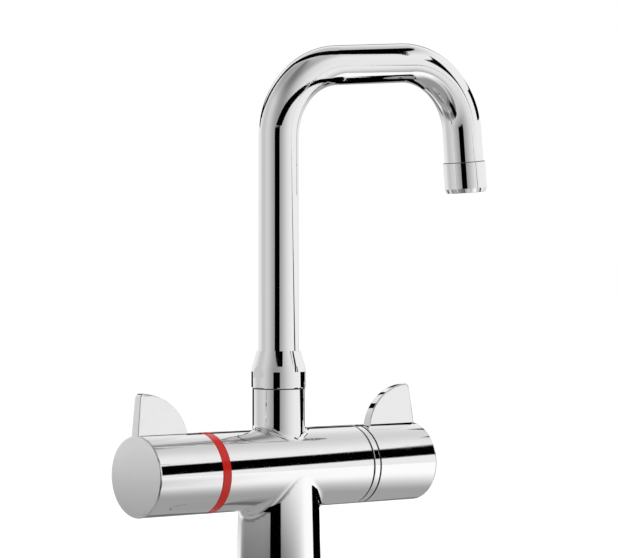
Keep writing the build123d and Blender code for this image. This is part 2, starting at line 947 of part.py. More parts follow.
with BuildPart() as moving_ceramic_disc:
    turned(sides["right"], tube_outline(moving_start_s, moving_end_s, 0, disc_r))
    moving_ports = sector_ports(cross_plane(sides["right"], moving_start_s), 0)
    extrude(moving_ports, amount=moving_disc, mode=Mode.SUBTRACT)
    with BuildSketch(cross_plane(sides["right"], moving_end_s - disc_slot_depth)):
        Rectangle(driver_width + 2 * seat_gap, driver_length + 2 * seat_gap)
    extrude(amount=disc_slot_depth, mode=Mode.SUBTRACT)
save(moving_ceramic_disc, "moving_ceramic_disc")

with BuildPart() as flow_spindle:
    turned(
        sides["right"],
        spindle_outline([(driver_end_s, 0), (driver_end_s, spindle_r)]),
    )
    driver_start_s = moving_end_s - disc_slot_depth + face_gap
    with BuildSketch(cross_plane(sides["right"], driver_start_s)):
        Rectangle(driver_width, driver_length)
    extrude(amount=driver_end_s - driver_start_s)
    spline(sides["right"])
save(flow_spindle, "flow_spindle")

with BuildPart() as headwork_body:
    turned(
        sides["right"],
        [
            (nose_flange_end_s, disc_cavity_r),
            (nose_flange_end_s, disc_chamber_r - seat_gap),
            (mouth_s, disc_chamber_r - seat_gap),
            (mouth_s, flange_r),
            (head_end_s, flange_r),
            (head_end_s, tower_r),
            (tower_end_s, tower_r),
            (tower_end_s, tower_bore_r),
            (headwork_cavity_end_s, tower_bore_r),
            (headwork_cavity_end_s, disc_cavity_r),
        ],
    )
    radial_ports(sides["right"], window_s, window_count, window_r, disc_chamber_r)
save(headwork_body, "headwork_body")


# Retaining nuts, rings between casting and handles
def retaining_nut(side):
    """Threaded nut with a sleeve that carries the ring and a slotted flange."""
    sleeve_r = ring_bore_r - seat_gap
    flange_end_s = ring_end_s + nut_flange
    turned(
        side,
        [
            (nut_start_s, nut_bore_r),
            (nut_start_s, mouth_r - thread_gap),
            (casting_half, mouth_r - thread_gap),
            (casting_half, sleeve_r),
            (ring_end_s, sleeve_r),
            (ring_end_s, nut_flange_r),
            (flange_end_s, nut_flange_r),
            (flange_end_s, nut_bore_r),
        ],
    )
    with BuildSketch(cross_plane(side, flange_end_s - nut_slot_depth)) as slots:
        with PolarLocations((nut_bore_r + nut_flange_r) / 2, nut_slot_count):
            Rectangle(nut_flange_r, nut_slot_width)
    extrude(slots.sketch, amount=nut_slot_depth, mode=Mode.SUBTRACT)


with BuildPart() as temperature_retaining_nut:
    retaining_nut(sides["left"])
save(temperature_retaining_nut, "temperature_retaining_nut")

with BuildPart() as flow_retaining_nut:
    retaining_nut(sides["right"])
save(flow_retaining_nut, "flow_retaining_nut")

with BuildPart() as temperature_ring:
    turned(sides["left"], tube_outline(casting_half, ring_end_s, ring_bore_r, barrel_r))
    ring_rims = temperature_ring.edges().filter_by(GeomType.CIRCLE)
    fillet(ring_rims.group_by(SortBy.RADIUS)[-1], radius=edge_break)
save(temperature_ring, "temperature_ring")

with BuildPart() as flow_ring:
    turned(
        sides["right"],
        [
            (casting_half, ring_bore_r),
            (casting_half, ring_hub_r),
            (casting_half + flow_groove, ring_hub_r),
            (casting_half + flow_groove, barrel_r),
            (ring_end_s - flow_groove / 2, barrel_r),
            (ring_end_s - flow_groove / 2, ring_hub_r),
            (ring_end_s, ring_hub_r),
            (ring_end_s, ring_bore_r),
        ],
    )
save(flow_ring, "flow_ring")

# Handles: domed shell, splined hub and one upright fin
fin_top = barrel_r + fin_rise
with BuildPart() as fin:
    fin_low = sqrt(handle_bore_r**2 - (fin_thickness / 2) ** 2) + fin_root / 2
    fin_foot_angle = 180 - degrees(asin((fin_low - fin_top) / fin_arc_up + 1))
    fin_top_angle = degrees(acos((fin_top_s - fin_foot_s) / fin_arc_along - 1))
    with BuildSketch(side_plane(sides["right"])) as fin_side:
        with BuildLine():
            arc = EllipticalCenterArc(
                (fin_foot_s + fin_arc_along, fin_top - fin_arc_up),
                fin_arc_along,
                fin_arc_up,
                start_angle=fin_foot_angle,
                arc_size=fin_top_angle - fin_foot_angle,
            )
            edge = Line(arc @ 1, (handle_rim_s, barrel_r))
            root = Line(edge @ 1, (handle_rim_s, fin_low))
            Line(root @ 1, arc @ 0)
        make_face()
    extrude(fin_side.sketch, amount=fin_thickness, both=True)
    with BuildSketch(cross_plane(sides["right"], fin_foot_s - overrun)) as fin_section:
        with BuildLine():
            half_low, half_top = fin_thickness / 2, fin_top_thickness / 2
            Polyline(
                (-half_low, fin_low),
                (-half_top, fin_top),
                (half_top, fin_top),
                (half_low, fin_low),
                close=True,
            )
        make_face()
    extrude(fin_section.sketch, amount=handle_rim_s - fin_foot_s + overrun, mode=Mode.INTERSECT)
    corner = fin.edges().filter_by(Axis.Y).group_by(Axis.Z)[-1].sort_by(Axis.X)[-1]
    fillet(corner, radius=fin_corner_r)
    rim_edges = fin.edges().filter_by(
        lambda edge: abs(edge.center().Y) > fin_edge_r
        and edge.center().Z > axis_height + fin_low + edge_break
    )
    fillet(rim_edges, radius=fin_edge_r)

with BuildPart() as flow_handle:
    wall_start_s = handle_rim_s - handle_wall_s
    with BuildSketch(side_plane(sides["right"])) as shell:
        with BuildLine():
            rim = Line((handle_start_s, handle_bore_r), (handle_start_s, barrel_r))
            skin = Line(rim @ 1, (handle_rim_s - handle_corner_r, barrel_r))
            turn = CenterArc(
                (handle_rim_s - handle_corner_r, barrel_r - handle_corner_r),
                handle_corner_r,
                90,
                -90,
            )
            dome = TangentArc(
                (handle_rim_s + handle_dome, 0), turn @ 1, tangent=(0, 1)
            )
            end_axis = Line((handle_rim_s + handle_dome, 0), (hub_start_s, 0))
            hub_end = Line(end_axis @ 1, (hub_start_s, hub_r))
            hub_side = Line(hub_end @ 1, (wall_start_s, hub_r))
            wall = Line(hub_side @ 1, (wall_start_s, handle_bore_r))
            Line(wall @ 1, rim @ 0)
        make_face()
    revolve(shell.sketch, axis=barrel_axis)
    add(fin.part.rotate(barrel_axis, -fin_lean))
    socket = spline_sketch(cross_plane(sides["right"], hub_start_s - overrun), face_gap)
    extrude(
        socket,
        amount=spline_end_s + spline_depth_gap - hub_start_s + overrun,
        mode=Mode.SUBTRACT,
    )
    grub_plane = Plane(origin=(grub_s, 0, axis_height), z_dir=(0, 0, -1))
    with BuildSketch(grub_plane) as grub_hole:
        Circle(grub_r + seat_gap)
    extrude(grub_hole.sketch, amount=hub_r + overrun, mode=Mode.SUBTRACT)
    with BuildSketch(grub_plane.offset(handle_bore_r - overrun)) as access:
        Circle(grub_access_r)
    extrude(access.sketch, amount=barrel_r - handle_bore_r + 2 * overrun, mode=Mode.SUBTRACT)
save(flow_handle, "flow_handle")

with BuildPart() as temperature_handle:
    add(mirror(flow_handle.part, about=Plane.YZ, mode=Mode.PRIVATE))
save(temperature_handle, "temperature_handle")

grub_screws = {
    "left": "temperature_handle_grub_screw",
    "right": "flow_handle_grub_screw",
}
for side_name, screw_name in grub_screws.items():
    with BuildPart() as grub_screw:
        screw_plane = Plane(
            origin=(sides[side_name] * grub_s, 0, axis_height), z_dir=(0, 0, -1)
        )
        with BuildSketch(screw_plane.offset(spline_r + seat_gap)):
            Circle(grub_r)
        extrude(amount=hub_r - spline_r - seat_gap)
        with BuildSketch(screw_plane.offset(hub_r - grub_socket_depth)):
            RegularPolygon(grub_socket_r, 6)
        extrude(amount=grub_socket_depth, mode=Mode.SUBTRACT)
    save(grub_screw, screw_name)

with BuildPart() as hot_stop_ring:
    turned(
        sides["left"], tube_outline(stop_ring_start_s, stop_ring_end_s, 0, stop_ring_r)
    )
    with BuildSketch(cross_plane(sides["left"], stop_ring_start_s)):
        with Locations((0, -(stop_ring_r + stop_lug_r) / 2)):
            Rectangle(stop_lug_width, stop_lug_r - stop_ring_r + overrun)
    extrude(amount=stop_ring_end_s - stop_ring_start_s)
    extrude(
        spline_sketch(cross_plane(sides["left"], stop_ring_start_s), face_gap),
        amount=stop_ring_end_s - stop_ring_start_s,
        mode=Mode.SUBTRACT,
    )
save(hot_stop_ring, "hot_stop_ring")

# Union nut, slip ring and tail
with BuildPart() as spout_nut:
    nut_bottom_z = axis_height + stub_rise + nut_base_gap
    lathe(
        [
            (stub_thread_r + thread_gap, nut_bottom_z),
            (nut_r - edge_break, nut_bottom_z),
            (nut_r, nut_bottom_z + edge_break),
            (nut_r, axis_height + nut_cone_start),
            (nut_cone_mid_r, axis_height + nut_cone_mid),
            (nut_top_r, axis_height + nut_top),
            (tube_r + slide_gap, axis_height + nut_top),
            (tube_r + slide_gap, axis_height + nut_shoulder),
            (stub_thread_r + thread_gap, axis_height + nut_shoulder),
        ],
        upright,
        Axis.Z,
    )
    for side in sides.values():
        flat_plane = Plane(
            origin=(side * nut_flat_half, 0, axis_height + nut_flat_bottom),
            x_dir=(0, side, 0),
            z_dir=(side, 0, 0),
        )
        with BuildSketch(flat_plane) as flat:
            Rectangle(
                2 * nut_r,
                nut_top - nut_flat_bottom,
                align=(Align.CENTER, Align.MIN),
            )
        extrude(flat.sketch, amount=nut_r, mode=Mode.SUBTRACT)
save(spout_nut, "spout_nut")

flange_bottom = axis_height + stub_thread_top + face_gap
flange_top = flange_bottom + tail_flange
with BuildPart() as spout_tail:
    tail_start = axis_height + tail_bottom
    lathe(
        [
            (tail_bore_r, tail_start),
            (tail_r - edge_break, tail_start),
            (tail_r, tail_start + edge_break),
            (tail_r, flange_bottom),
            (tail_flange_r, flange_bottom),
            (tail_flange_r, flange_top),
            (tube_r - tube_wall - seat_gap, flange_top),
            (tube_r - tube_wall - seat_gap, axis_height + tail_spigot_top),
            (tail_bore_r, axis_height + tail_spigot_top),
        ],
        upright,
        Axis.Z,
    )
    for height in tail_ring_heights:
        upright_ring(
            axis_height + height - o_ring_groove_width / 2,
            axis_height + height + o_ring_groove_width / 2,
            socket_r - o_ring_squash - 2 * o_ring_wire_r - face_gap,
            socket_r,
            Mode.SUBTRACT,
        )
save(spout_tail, "spout_tail")

with BuildPart() as spout_o_rings:
    with BuildSketch(upright) as ring_sections:
        for height in tail_ring_heights:
            with Locations((socket_r - o_ring_squash - o_ring_wire_r, axis_height + height)):
                Circle(o_ring_wire_r)
    revolve(ring_sections.sketch, axis=Axis.Z)
save(spout_o_rings, "spout_o_rings")

with BuildPart() as spout_slip_ring:
    upright_ring(
        flange_top + face_gap,
        flange_top + face_gap + slip_ring_thickness,
        tube_r + slide_gap,
        slip_ring_r,
    )
save(spout_slip_ring, "spout_slip_ring")

# Spout tube: riser, two equal bends and the outlet leg
spout_plane = Plane(
    origin=(0, 0, 0),
    x_dir=(cos(radians(spout_heading)), sin(radians(spout_heading)), 0),
    z_dir=(sin(radians(spout_heading)), -cos(radians(spout_heading)), 0),
)
with BuildPart() as spout_tube:
    with BuildLine(spout_plane) as spout_path:
        riser = Line((0, flange_top), (0, axis_height + riser_top))
        first = JernArc(riser @ 1, riser % 1, bend_r, -bend_turn)
        run = Line(first @ 1, first @ 1 + run_length * (first % 1))
        second = JernArc(run @ 1, run % 1, bend_r, -outlet_turn)
        outlet = Line(second @ 1, second @ 1 + outlet_length * (second % 1))
    path = spout_path.wires()[0]
    with BuildSketch(Plane((0, 0, flange_top))) as tube_section:
        Circle(tube_r)
        Circle(tube_r - tube_wall, mode=Mode.SUBTRACT)
    sweep(tube_section.sketch, path=path)
save(spout_tube, "spout_tube")

# Outlet: brazed fitting, seal, flow straightener and shell
outlet_plane = Plane(origin=path @ 1, z_dir=path % 1)
outlet_axis = Axis(outlet_plane.origin, outlet_plane.z_dir)
outlet_side = Plane(
    origin=outlet_plane.origin, x_dir=outlet_plane.x_dir, z_dir=-outlet_plane.y_dir
)


def outlet_lathe(outline):
    """Turn an outline of (radius, distance past the tube's end) points."""
    lathe(outline, outlet_side, outlet_axis)


with BuildPart() as outlet_fitting:
    outlet_lathe(
        [
            (fitting_bore_r, -fitting_spigot),
            (tube_r - tube_wall - seat_gap, -fitting_spigot),
            (tube_r - tube_wall - seat_gap, 0),
            (fitting_thread_r, 0),
            (fitting_thread_r, fitting_thread_length),
            (fitting_bore_r, fitting_thread_length),
        ]
    )
save(outlet_fitting, "outlet_fitting")

seal_start = fitting_thread_length
insert_start = seal_start + aerator_seal_thickness
with BuildPart() as aerator_seal:
    outlet_lathe(
        [(r, z) for z, r in tube_outline(seal_start, insert_start, fitting_bore_r, fitting_thread_r)]
    )
save(aerator_seal, "aerator_seal")

with BuildPart() as aerator_insert:
    with BuildSketch(outlet_plane.offset(insert_start)):
        Circle(fitting_thread_r)
        with HexLocations(insert_pitch / sqrt(3), insert_rows, insert_rows):
            Circle(insert_hole_r, mode=Mode.SUBTRACT)
    extrude(amount=insert_height)
save(aerator_insert, "aerator_insert")

with BuildPart() as aerator_housing:
    insert_end = insert_start + insert_height
    outlet_lathe(
        [
            (fitting_thread_r + thread_gap, aerator_joint),
            (aerator_r, aerator_joint),
            (aerator_r, aerator_length - aerator_taper),
            (aerator_lip_r, aerator_length),
            (aerator_mouth_r, aerator_length),
            (aerator_mouth_r, insert_end),
            (fitting_thread_r + thread_gap, insert_end),
        ]
    )
save(aerator_housing, "aerator_housing")
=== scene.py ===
import json
import logging
import math
from dataclasses import dataclass, field
from enum import Enum
from typing import Any, Sequence, Union

import bmesh
import bpy
import numpy as np
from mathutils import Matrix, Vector


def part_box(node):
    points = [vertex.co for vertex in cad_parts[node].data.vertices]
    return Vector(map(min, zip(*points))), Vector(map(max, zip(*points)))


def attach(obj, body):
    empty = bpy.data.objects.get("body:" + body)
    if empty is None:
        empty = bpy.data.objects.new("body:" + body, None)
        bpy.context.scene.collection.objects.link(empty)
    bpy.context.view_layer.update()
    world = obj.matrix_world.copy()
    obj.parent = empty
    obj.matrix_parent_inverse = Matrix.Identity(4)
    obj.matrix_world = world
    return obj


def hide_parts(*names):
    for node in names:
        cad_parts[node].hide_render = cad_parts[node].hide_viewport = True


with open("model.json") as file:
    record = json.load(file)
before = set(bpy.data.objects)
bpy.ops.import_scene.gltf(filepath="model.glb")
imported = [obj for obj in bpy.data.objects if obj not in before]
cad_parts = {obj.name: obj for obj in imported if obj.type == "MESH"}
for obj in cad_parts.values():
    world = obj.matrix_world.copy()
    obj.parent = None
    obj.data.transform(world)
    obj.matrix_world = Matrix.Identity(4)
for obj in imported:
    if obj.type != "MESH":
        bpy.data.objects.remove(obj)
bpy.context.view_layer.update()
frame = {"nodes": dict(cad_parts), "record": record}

log = logging.getLogger("thermostatic_mixer_tap")
logging.basicConfig(level=logging.INFO, format="%(name)s: %(message)s")

MM = 0.001
TINY = 1e-6
TOUCH = 0.02  # how near, in mm, a point is to a face that it lies on
CREASE = 0.01  # radius, in mm, where two faces meet without a blend
ALMOST_ONE = 0.9999  # cosine of directions that count as the same
DEGREES = 57.2958  # in one radian
DISPLAY_POWER = 2.2  # light is a screen tone raised to this
AXIS_HEIGHT = 95.0  # deck to barrel axis
X_AXIS = np.array([1.0, 0.0, 0.0])
Z_AXIS = np.array([0.0, 0.0, 1.0])
BARREL_CENTRE = np.array([0.0, 0.0, AXIS_HEIGHT])

Number = Union[float, "Value"]
Colour = tuple[float, float, float]
Inputs = dict[Union[int, str], Any]


# Shader maths


class Value:
    """A number that varies over a surface, with operators that add Math nodes."""

    def __init__(self, graph: "Graph", socket: bpy.types.NodeSocket) -> None:
        """Keep the graph and the socket that carries the number."""
        self.graph = graph
        self.socket = socket

    def _math(self, operation: str, *terms: Number) -> "Value":
        """Add one Math node.

        Args:
            operation: The node's operation.
            terms: Its inputs in order, numbers or values.

        Returns:
            The node's result.
        """
        inputs = {index: term for index, term in enumerate(terms)}
        return self.graph.value("ShaderNodeMath", {"operation": operation}, inputs)

    def __add__(self, other: Number) -> "Value":
        """Sum."""
        return self._math("ADD", self, other)

    __radd__ = __add__

    def __sub__(self, other: Number) -> "Value":
        """Difference."""
        return self._math("SUBTRACT", self, other)

    def __rsub__(self, other: Number) -> "Value":
        """Difference with the value on the right."""
        return self._math("SUBTRACT", other, self)

    def __mul__(self, other: Number) -> "Value":
        """Product."""
        return self._math("MULTIPLY", self, other)

    __rmul__ = __mul__

    def __truediv__(self, other: Number) -> "Value":
        """Quotient."""
        return self._math("DIVIDE", self, other)

    def __rtruediv__(self, other: Number) -> "Value":
        """Quotient with the value below the line."""
        return self._math("DIVIDE", other, self)

    def __neg__(self) -> "Value":
        """Opposite."""
        return self._math("MULTIPLY", self, -1.0)

    def __abs__(self) -> "Value":
        """Size without sign."""
        return self._math("ABSOLUTE", self)

    def power(self, exponent: float) -> "Value":
        """Raise to a power."""
        return self._math("POWER", self, exponent)

    def bell(self, centre: float, width: float) -> "Value":
        """One at the centre, falling as exp(-((value - centre) / width)^2)."""
        offset = (self - centre) / width
        return self._math("EXPONENT", -(offset * offset))

    def rise(self, low: float, high: float) -> "Value":
        """Smooth step from 0 at low to 1 at high.

        Args:
            low: Where the step starts.
            high: Where it ends.

        Returns:
            The stepped value.
        """
        return self.graph.value(
            "ShaderNodeMapRange",
            {"interpolation_type": "SMOOTHSTEP"},
            {"Value": self, "From Min": low, "From Max": high},
        )

    def within(self, low: float, high: float, soft: float) -> "Value":
        """One between low and high, fading to 0 over soft at both ends."""
        return self.rise(low - soft, low + soft) * (1 - self.rise(high - soft, high + soft))


class Graph:
    """A node tree with one method that makes any node."""

    def __init__(self, tree: bpy.types.NodeTree) -> None:
        """Start from an empty tree."""
        self.tree = tree
        tree.nodes.clear()

    def node(self, kind: str, settings: dict[str, Any], values: Inputs) -> bpy.types.Node:
        """Make a node.

        Args:
            kind: Its type.
            settings: Its own settings, set first.
            values: Numbers, colours or links of its sockets, by name or index.

        Returns:
            The node.
        """
        made = self.tree.nodes.new(kind)
        for name, setting in settings.items():
            setattr(made, name, setting)
        for name, value in values.items():
            target = made.inputs[name]
            if isinstance(value, Value):
                value = value.socket
            if isinstance(value, bpy.types.NodeSocket):
                self.tree.links.new(value, target)
            elif isinstance(value, tuple) and len(value) == 3 and target.type == "RGBA":
                target.default_value = (*value, 1.0)
            else:
                target.default_value = value
        return made

    def value(self, kind: str, settings: dict[str, Any], values: Inputs) -> Value:
        """Make a node and take its first output as a value."""
        return Value(self, self.node(kind, settings, values).outputs[0])

    def dot(self, first: Any, second: Any) -> Value:
        """Dot product of two vectors."""
        made = self.node("ShaderNodeVectorMath", {"operation": "DOT_PRODUCT"}, {0: first, 1: second})
        return Value(self, made.outputs["Value"])

    def mix(self, factor: Number, first: Any, second: Any) -> bpy.types.NodeSocket:
        """Blend two colours.

        Args:
            factor: Share of the second.
            first: A colour or its socket.
            second: A colour or its socket.

        Returns:
            The blended colour's socket.
        """
        return self.node("ShaderNodeMix", {"data_type": "RGBA"}, {0: factor, 6: first, 7: second}).outputs[2]

    def noise(self, place: Any, scale: float, detail: float, stretch: Colour = (1, 1, 1)) -> Value:
        """Noise on object coordinates.

        Args:
            place: The coordinates, in metres.
            scale: Features per metre.
            detail: Octaves.
            stretch: Scale of each axis, small along a grain.

        Returns:
            The noise, about 0.5.
        """
        mapped = self.node("ShaderNodeMapping", {}, {"Vector": place, "Scale": tuple(stretch)})
        return self.value(
            "ShaderNodeTexNoise",
            {},
            {"Vector": mapped.outputs[0], "Scale": scale, "Detail": detail, "Roughness": 0.55},
        )


def new_material(name: str) -> tuple[bpy.types.Material, Graph]:
    """Make a material and its empty graph.

    Args:
        name: The material's name.

    Returns:
        The material and the graph.
    """
    material = bpy.data.materials.new(name)
    material.use_nodes = True
    return material, Graph(material.node_tree)


# Finishes


class Grain(Enum):
    """How a surface was made."""

    PLATED = "plated"
    TURNED = "turned"
    MOULDED = "moulded"
    WOUND = "wound"
    LAPPED = "lapped"


# Broad clouds and blotches: marks per metre and octaves.
CLOUDS = (38.0, 3.0)
BLOTCHES = (150.0, 5.0)
# Noise of each grain: marks per metre, octaves, stretch of the axes.
GRAIN_NOISE: dict[Grain, tuple[float, float, Colour]] = {
    Grain.TURNED: (900.0, 2.0, (6.0, 0.35, 0.35)),
    Grain.MOULDED: (2600.0, 2.0, (1.0, 1.0, 1.0)),
    Grain.WOUND: (1500.0, 2.0, (1.0, 1.0, 4.0)),
    Grain.LAPPED: (3000.0, 1.0, (1.0, 1.0, 1.0)),
    Grain.PLATED: (420.0, 4.0, (0.25, 1.0, 3.2)),
}


@dataclass(frozen=True)
class Finish:
    """A material and the small marks on it.

    The marks are noise on object coordinates: broad cloudiness varies the
    colour, stretched fine noise makes the scratches in the bump, and blotches
    raise the roughness where the surface is handled or wiped. The share of
    cloud and blotch in the worn colour is cloud, and spread is how far the
    roughness moves.
    """

    name: str
    colour: Colour
    worn: Colour
    metallic: float
    roughness: float
    grain: Grain
    spread: float = 0.04
    cloud: float = 0.25
    scratch: float = 0.02
    coat: float = 0.0
    specular: float = 0.5

    def scratches(self, graph: Graph, place: Any) -> Value:
        """Height of the fine marks, by grain.

        Args:
            graph: The material's graph.
            place: Object coordinates.

        Returns:
            A height about 0.5.
        """
        scale, detail, stretch = GRAIN_NOISE[self.grain]
        along = graph.noise(place, scale, detail, stretch)
        if self.grain is not Grain.PLATED:
            return along
        return (along + graph.noise(place, scale, detail, stretch[::-1])) * 0.5

    def make(self) -> bpy.types.Material:
        """Build the material.

        Returns:
            The material, shared by every piece with this finish.
        """
        material, graph = new_material(self.name)
        place = graph.node("ShaderNodeTexCoord", {}, {}).outputs["Object"]
        broad = graph.noise(place, *CLOUDS)
        blotch = graph.noise(place, *BLOTCHES).rise(0.46, 0.74)
        marks = self.scratches(graph, place)
        tint = graph.mix(broad * self.cloud + blotch * self.cloud * 0.6, self.colour, self.worn)
        rough = self.roughness + blotch * self.spread + (marks - 0.5) * self.spread
        relief = {"Strength": self.scratch, "Distance": 0.0004, "Height": marks}
        bump = graph.node("ShaderNodeBump", {}, relief).outputs[0]
        shader = graph.node(
            "ShaderNodeBsdfPrincipled",
            {},
            {
                "Base Color": tint,
                "Metallic": self.metallic,
                "Roughness": rough,
                "Normal": bump,
                "Coat Weight": self.coat,
                "Coat Roughness": 0.06,
                "Specular IOR Level": self.specular,
            },
        )
        graph.node("ShaderNodeOutputMaterial", {}, {"Surface": shader.outputs[0]})
        return material


FINISHES: dict[str, Finish] = {
    "chrome": Finish(
        "polished_chrome", (0.965, 0.965, 0.965), (0.93, 0.932, 0.935), 1.0, 0.03, Grain.PLATED,
        spread=0.03, cloud=0.3, scratch=0.012,
    ),
    "satin": Finish(
        "satin_chrome", (0.92, 0.92, 0.92), (0.88, 0.88, 0.885), 0.85, 0.34, Grain.TURNED,
        spread=0.05, cloud=0.3, scratch=0.03,
    ),
    "red_plastic": Finish(
        "red_enamel", (0.38, 0.005, 0.002), (0.34, 0.008, 0.003), 0.0, 0.2, Grain.MOULDED,
        spread=0.06, cloud=0.5, scratch=0.02, coat=0.3, specular=0.25,
    ),
    "brass": Finish(
        "machined_brass", (0.72, 0.52, 0.24), (0.58, 0.40, 0.18), 1.0, 0.26, Grain.TURNED,
        spread=0.14, cloud=0.7, scratch=0.12,
    ),
    "cartridge_plastic": Finish(
        "cartridge_plastic", (0.42, 0.43, 0.45), (0.36, 0.37, 0.39), 0.0, 0.42, Grain.MOULDED,
        spread=0.12, cloud=0.6, scratch=0.08,
    ),
    "slip_plastic": Finish(
        "slip_plastic", (0.86, 0.85, 0.82), (0.78, 0.77, 0.73), 0.0, 0.38, Grain.MOULDED,
        spread=0.10, cloud=0.6, scratch=0.06,
    ),
    "ceramic": Finish(
        "lapped_ceramic", (0.88, 0.87, 0.84), (0.82, 0.81, 0.78), 0.0, 0.14, Grain.LAPPED,
        spread=0.06, cloud=0.4, scratch=0.02,
    ),
    "rubber": Finish(
        "black_rubber", (0.022, 0.022, 0.023), (0.05, 0.05, 0.05), 0.0, 0.62, Grain.MOULDED,
        spread=0.18, cloud=0.7, scratch=0.14, specular=0.35,
    ),
    # painted shade: a near-black finish laid on faces in narrow gaps and grooves, where shade falls
    "gap": Finish(
        "painted_gap_shade", (0.035, 0.034, 0.034), (0.06, 0.058, 0.056), 0.0, 0.5, Grain.TURNED,
        spread=0.1, cloud=0.5, scratch=0.05, specular=0.2,
    ),
    "steel": Finish(
        "stainless_steel", (0.70, 0.70, 0.69), (0.60, 0.60, 0.60), 1.0, 0.24, Grain.WOUND,
        spread=0.14, cloud=0.6, scratch=0.10,
    ),
}
MATERIALS: dict[str, bpy.types.Material] = {name: finish.make() for name, finish in FINISHES.items()}


# Surfaces


def add_object(name: str, data: Any) -> bpy.types.Object:
    """Put a mesh, lamp or camera into the scene.

    Args:
        name: The object's name.
        data: What it shows.

    Returns:
        The object, at the origin.
    """
    made = bpy.data.objects.new(name, data)
    bpy.context.scene.collection.objects.link(made)
    return made


def unit(vectors: np.ndarray) -> np.ndarray:
    """Scale vectors to length one."""
    return vectors / np.maximum(np.linalg.norm(vectors, axis=-1, keepdims=True), 1e-12)


@dataclass
class Placement:
    """Where a turned piece stands: origin, turning axis and a direction across it."""

    origin: np.ndarray
    axis: np.ndarray
    across: np.ndarray

    @property
    def third(self) -> np.ndarray:
        """Direction at right angles to the other two."""
        return np.cross(self.axis, self.across)


def barrel_place(side: int) -> Placement:
    """Placement of a piece turned about the barrel axis, outwards on one side."""
    return Placement(BARREL_CENTRE, X_AXIS * side, Z_AXIS)


def rounded_profile(
    corners: Sequence[tuple[float, float, float]], closed: bool, steps: int = 6
) -> tuple[np.ndarray, np.ndarray]:
    """Round the corners of an outline.

    Each corner of radius r is replaced by the arc that touches both of its
    sides: the arc starts r / tan(half the corner's angle) before the corner,
    and its normal turns evenly from one side's normal to the other's. Material
    lies on the right of the outline's direction.

    Args:
        corners: Points as (distance along the axis, radius, rounding).
        closed: Whether the outline returns to its start.
        steps: Spans per arc.

    Returns:
        Points and normals, each (n, 2).
    """
    points = np.array([corner[:2] for corner in corners], float)
    radii = np.array([corner[2] for corner in corners], float)
    count = len(points)
    out_points: list[np.ndarray] = []
    out_normals: list[np.ndarray] = []
    for index in range(count):
        end = not closed and index in (0, count - 1)
        before = unit(points[index] - points[index - 1])
        after = unit(points[(index + 1) % count] - points[index])
        turn = math.atan2(before[0] * after[1] - before[1] * after[0], float(before @ after))
        if end or abs(turn) < TINY:
            way = after if end and index == 0 else before
            out_points.append(points[index][None])
            out_normals.append(np.array([[-way[1], way[0]]]))
            continue
        radius = max(radii[index], TOUCH)
        reach = radius * math.tan(abs(turn) / 2)
        start = points[index] - before * reach
        normal = np.array([-before[1], before[0]])
        side = 1.0 if turn > 0 else -1.0
        centre = start + normal * radius * side
        angles = np.linspace(0.0, turn, steps + 1)
        cosine, sine = np.cos(angles), np.sin(angles)
        normals = np.stack([normal[0] * cosine - normal[1] * sine, normal[0] * sine + normal[1] * cosine], 1)
        out_points.append(centre - normals * radius * side)
        out_normals.append(normals)
    return np.concatenate(out_points), np.concatenate(out_normals)


def grid_mesh(
    name: str, points: np.ndarray, normals: np.ndarray, closed_rows: bool, closed_columns: bool
) -> bpy.types.Object:
    """Make an object from a grid of points with their exact normals.

    Args:
        name: The piece's name.
        points: Points in millimetres, (rows, columns, 3).
        normals: Outward normals of the same shape.
        closed_rows: Whether the last row joins the first.
        closed_columns: Whether the last column joins the first.

    Returns:
        The object, at the origin.
    """
    rows, columns = points.shape[:2]
    index = np.arange(rows * columns).reshape(rows, columns)
    pole = np.linalg.norm(points - points[:, :1], axis=2).max(axis=1) < TINY
    index[pole] = index[pole, :1]
    i = np.arange(rows if closed_rows else rows - 1)
    j = np.arange(columns if closed_columns else columns - 1)
    ii, jj = np.meshgrid(i, j, indexing="ij")
    i2, j2 = (ii + 1) % rows, (jj + 1) % columns
    quads = np.stack([index[ii, jj], index[i2, jj], index[i2, j2], index[ii, j2]], -1).reshape(-1, 4)
    corners = points.reshape(-1, 3)
    outward = normals.reshape(-1, 3)
    first, second, third, fourth = corners[quads].swapaxes(0, 1)
    face_way = np.cross(third - first, fourth - second)
    if float((face_way * outward[quads].sum(1)).sum()) < 0:
        quads = quads[:, ::-1]
    faces = [list(dict.fromkeys(quad)) for quad in quads.tolist()]
    used = np.unique(np.concatenate([np.array(face) for face in faces]))
    renumber = np.full(len(corners), -1)
    renumber[used] = np.arange(len(used))
    faces = [[int(renumber[corner]) for corner in face] for face in faces if len(face) > 2]
    mesh = bpy.data.meshes.new(name)
    mesh.from_pydata((corners[used] * MM).tolist(), [], faces)
    mesh.polygons.foreach_set("use_smooth", np.ones(len(mesh.polygons), bool))
    mesh.normals_split_custom_set_from_vertices(unit(outward[used]).tolist())
    mesh.update()
    return add_object(name, mesh)


def turned_piece(
    name: str,
    corners: Sequence[tuple[float, float, float]],
    place: Placement,
    closed: bool = True,
    segments: int = 192,
) -> bpy.types.Object:
    """Turn an outline about an axis.

    Point (s, r) of the outline goes to origin + s * axis + r * (cos a * across
    + sin a * third) for the angle a from 0 to a full turn.

    Args:
        name: The piece's name.
        corners: Outline as (distance, radius, rounding).
        place: Where the axis is.
        closed: Whether the outline is closed.
        segments: Steps round the axis.

    Returns:
        The object.
    """
    outline, slopes = rounded_profile(corners, closed)
    angles = np.linspace(0.0, 2 * np.pi, segments, endpoint=False)
    spoke = np.cos(angles)[:, None] * place.across + np.sin(angles)[:, None] * place.third
    points = place.origin + outline[:, 0, None, None] * place.axis + outline[:, 1, None, None] * spoke
    normals = slopes[:, 0, None, None] * place.axis + slopes[:, 1, None, None] * spoke
    return grid_mesh(name, points, unit(normals), closed, True)


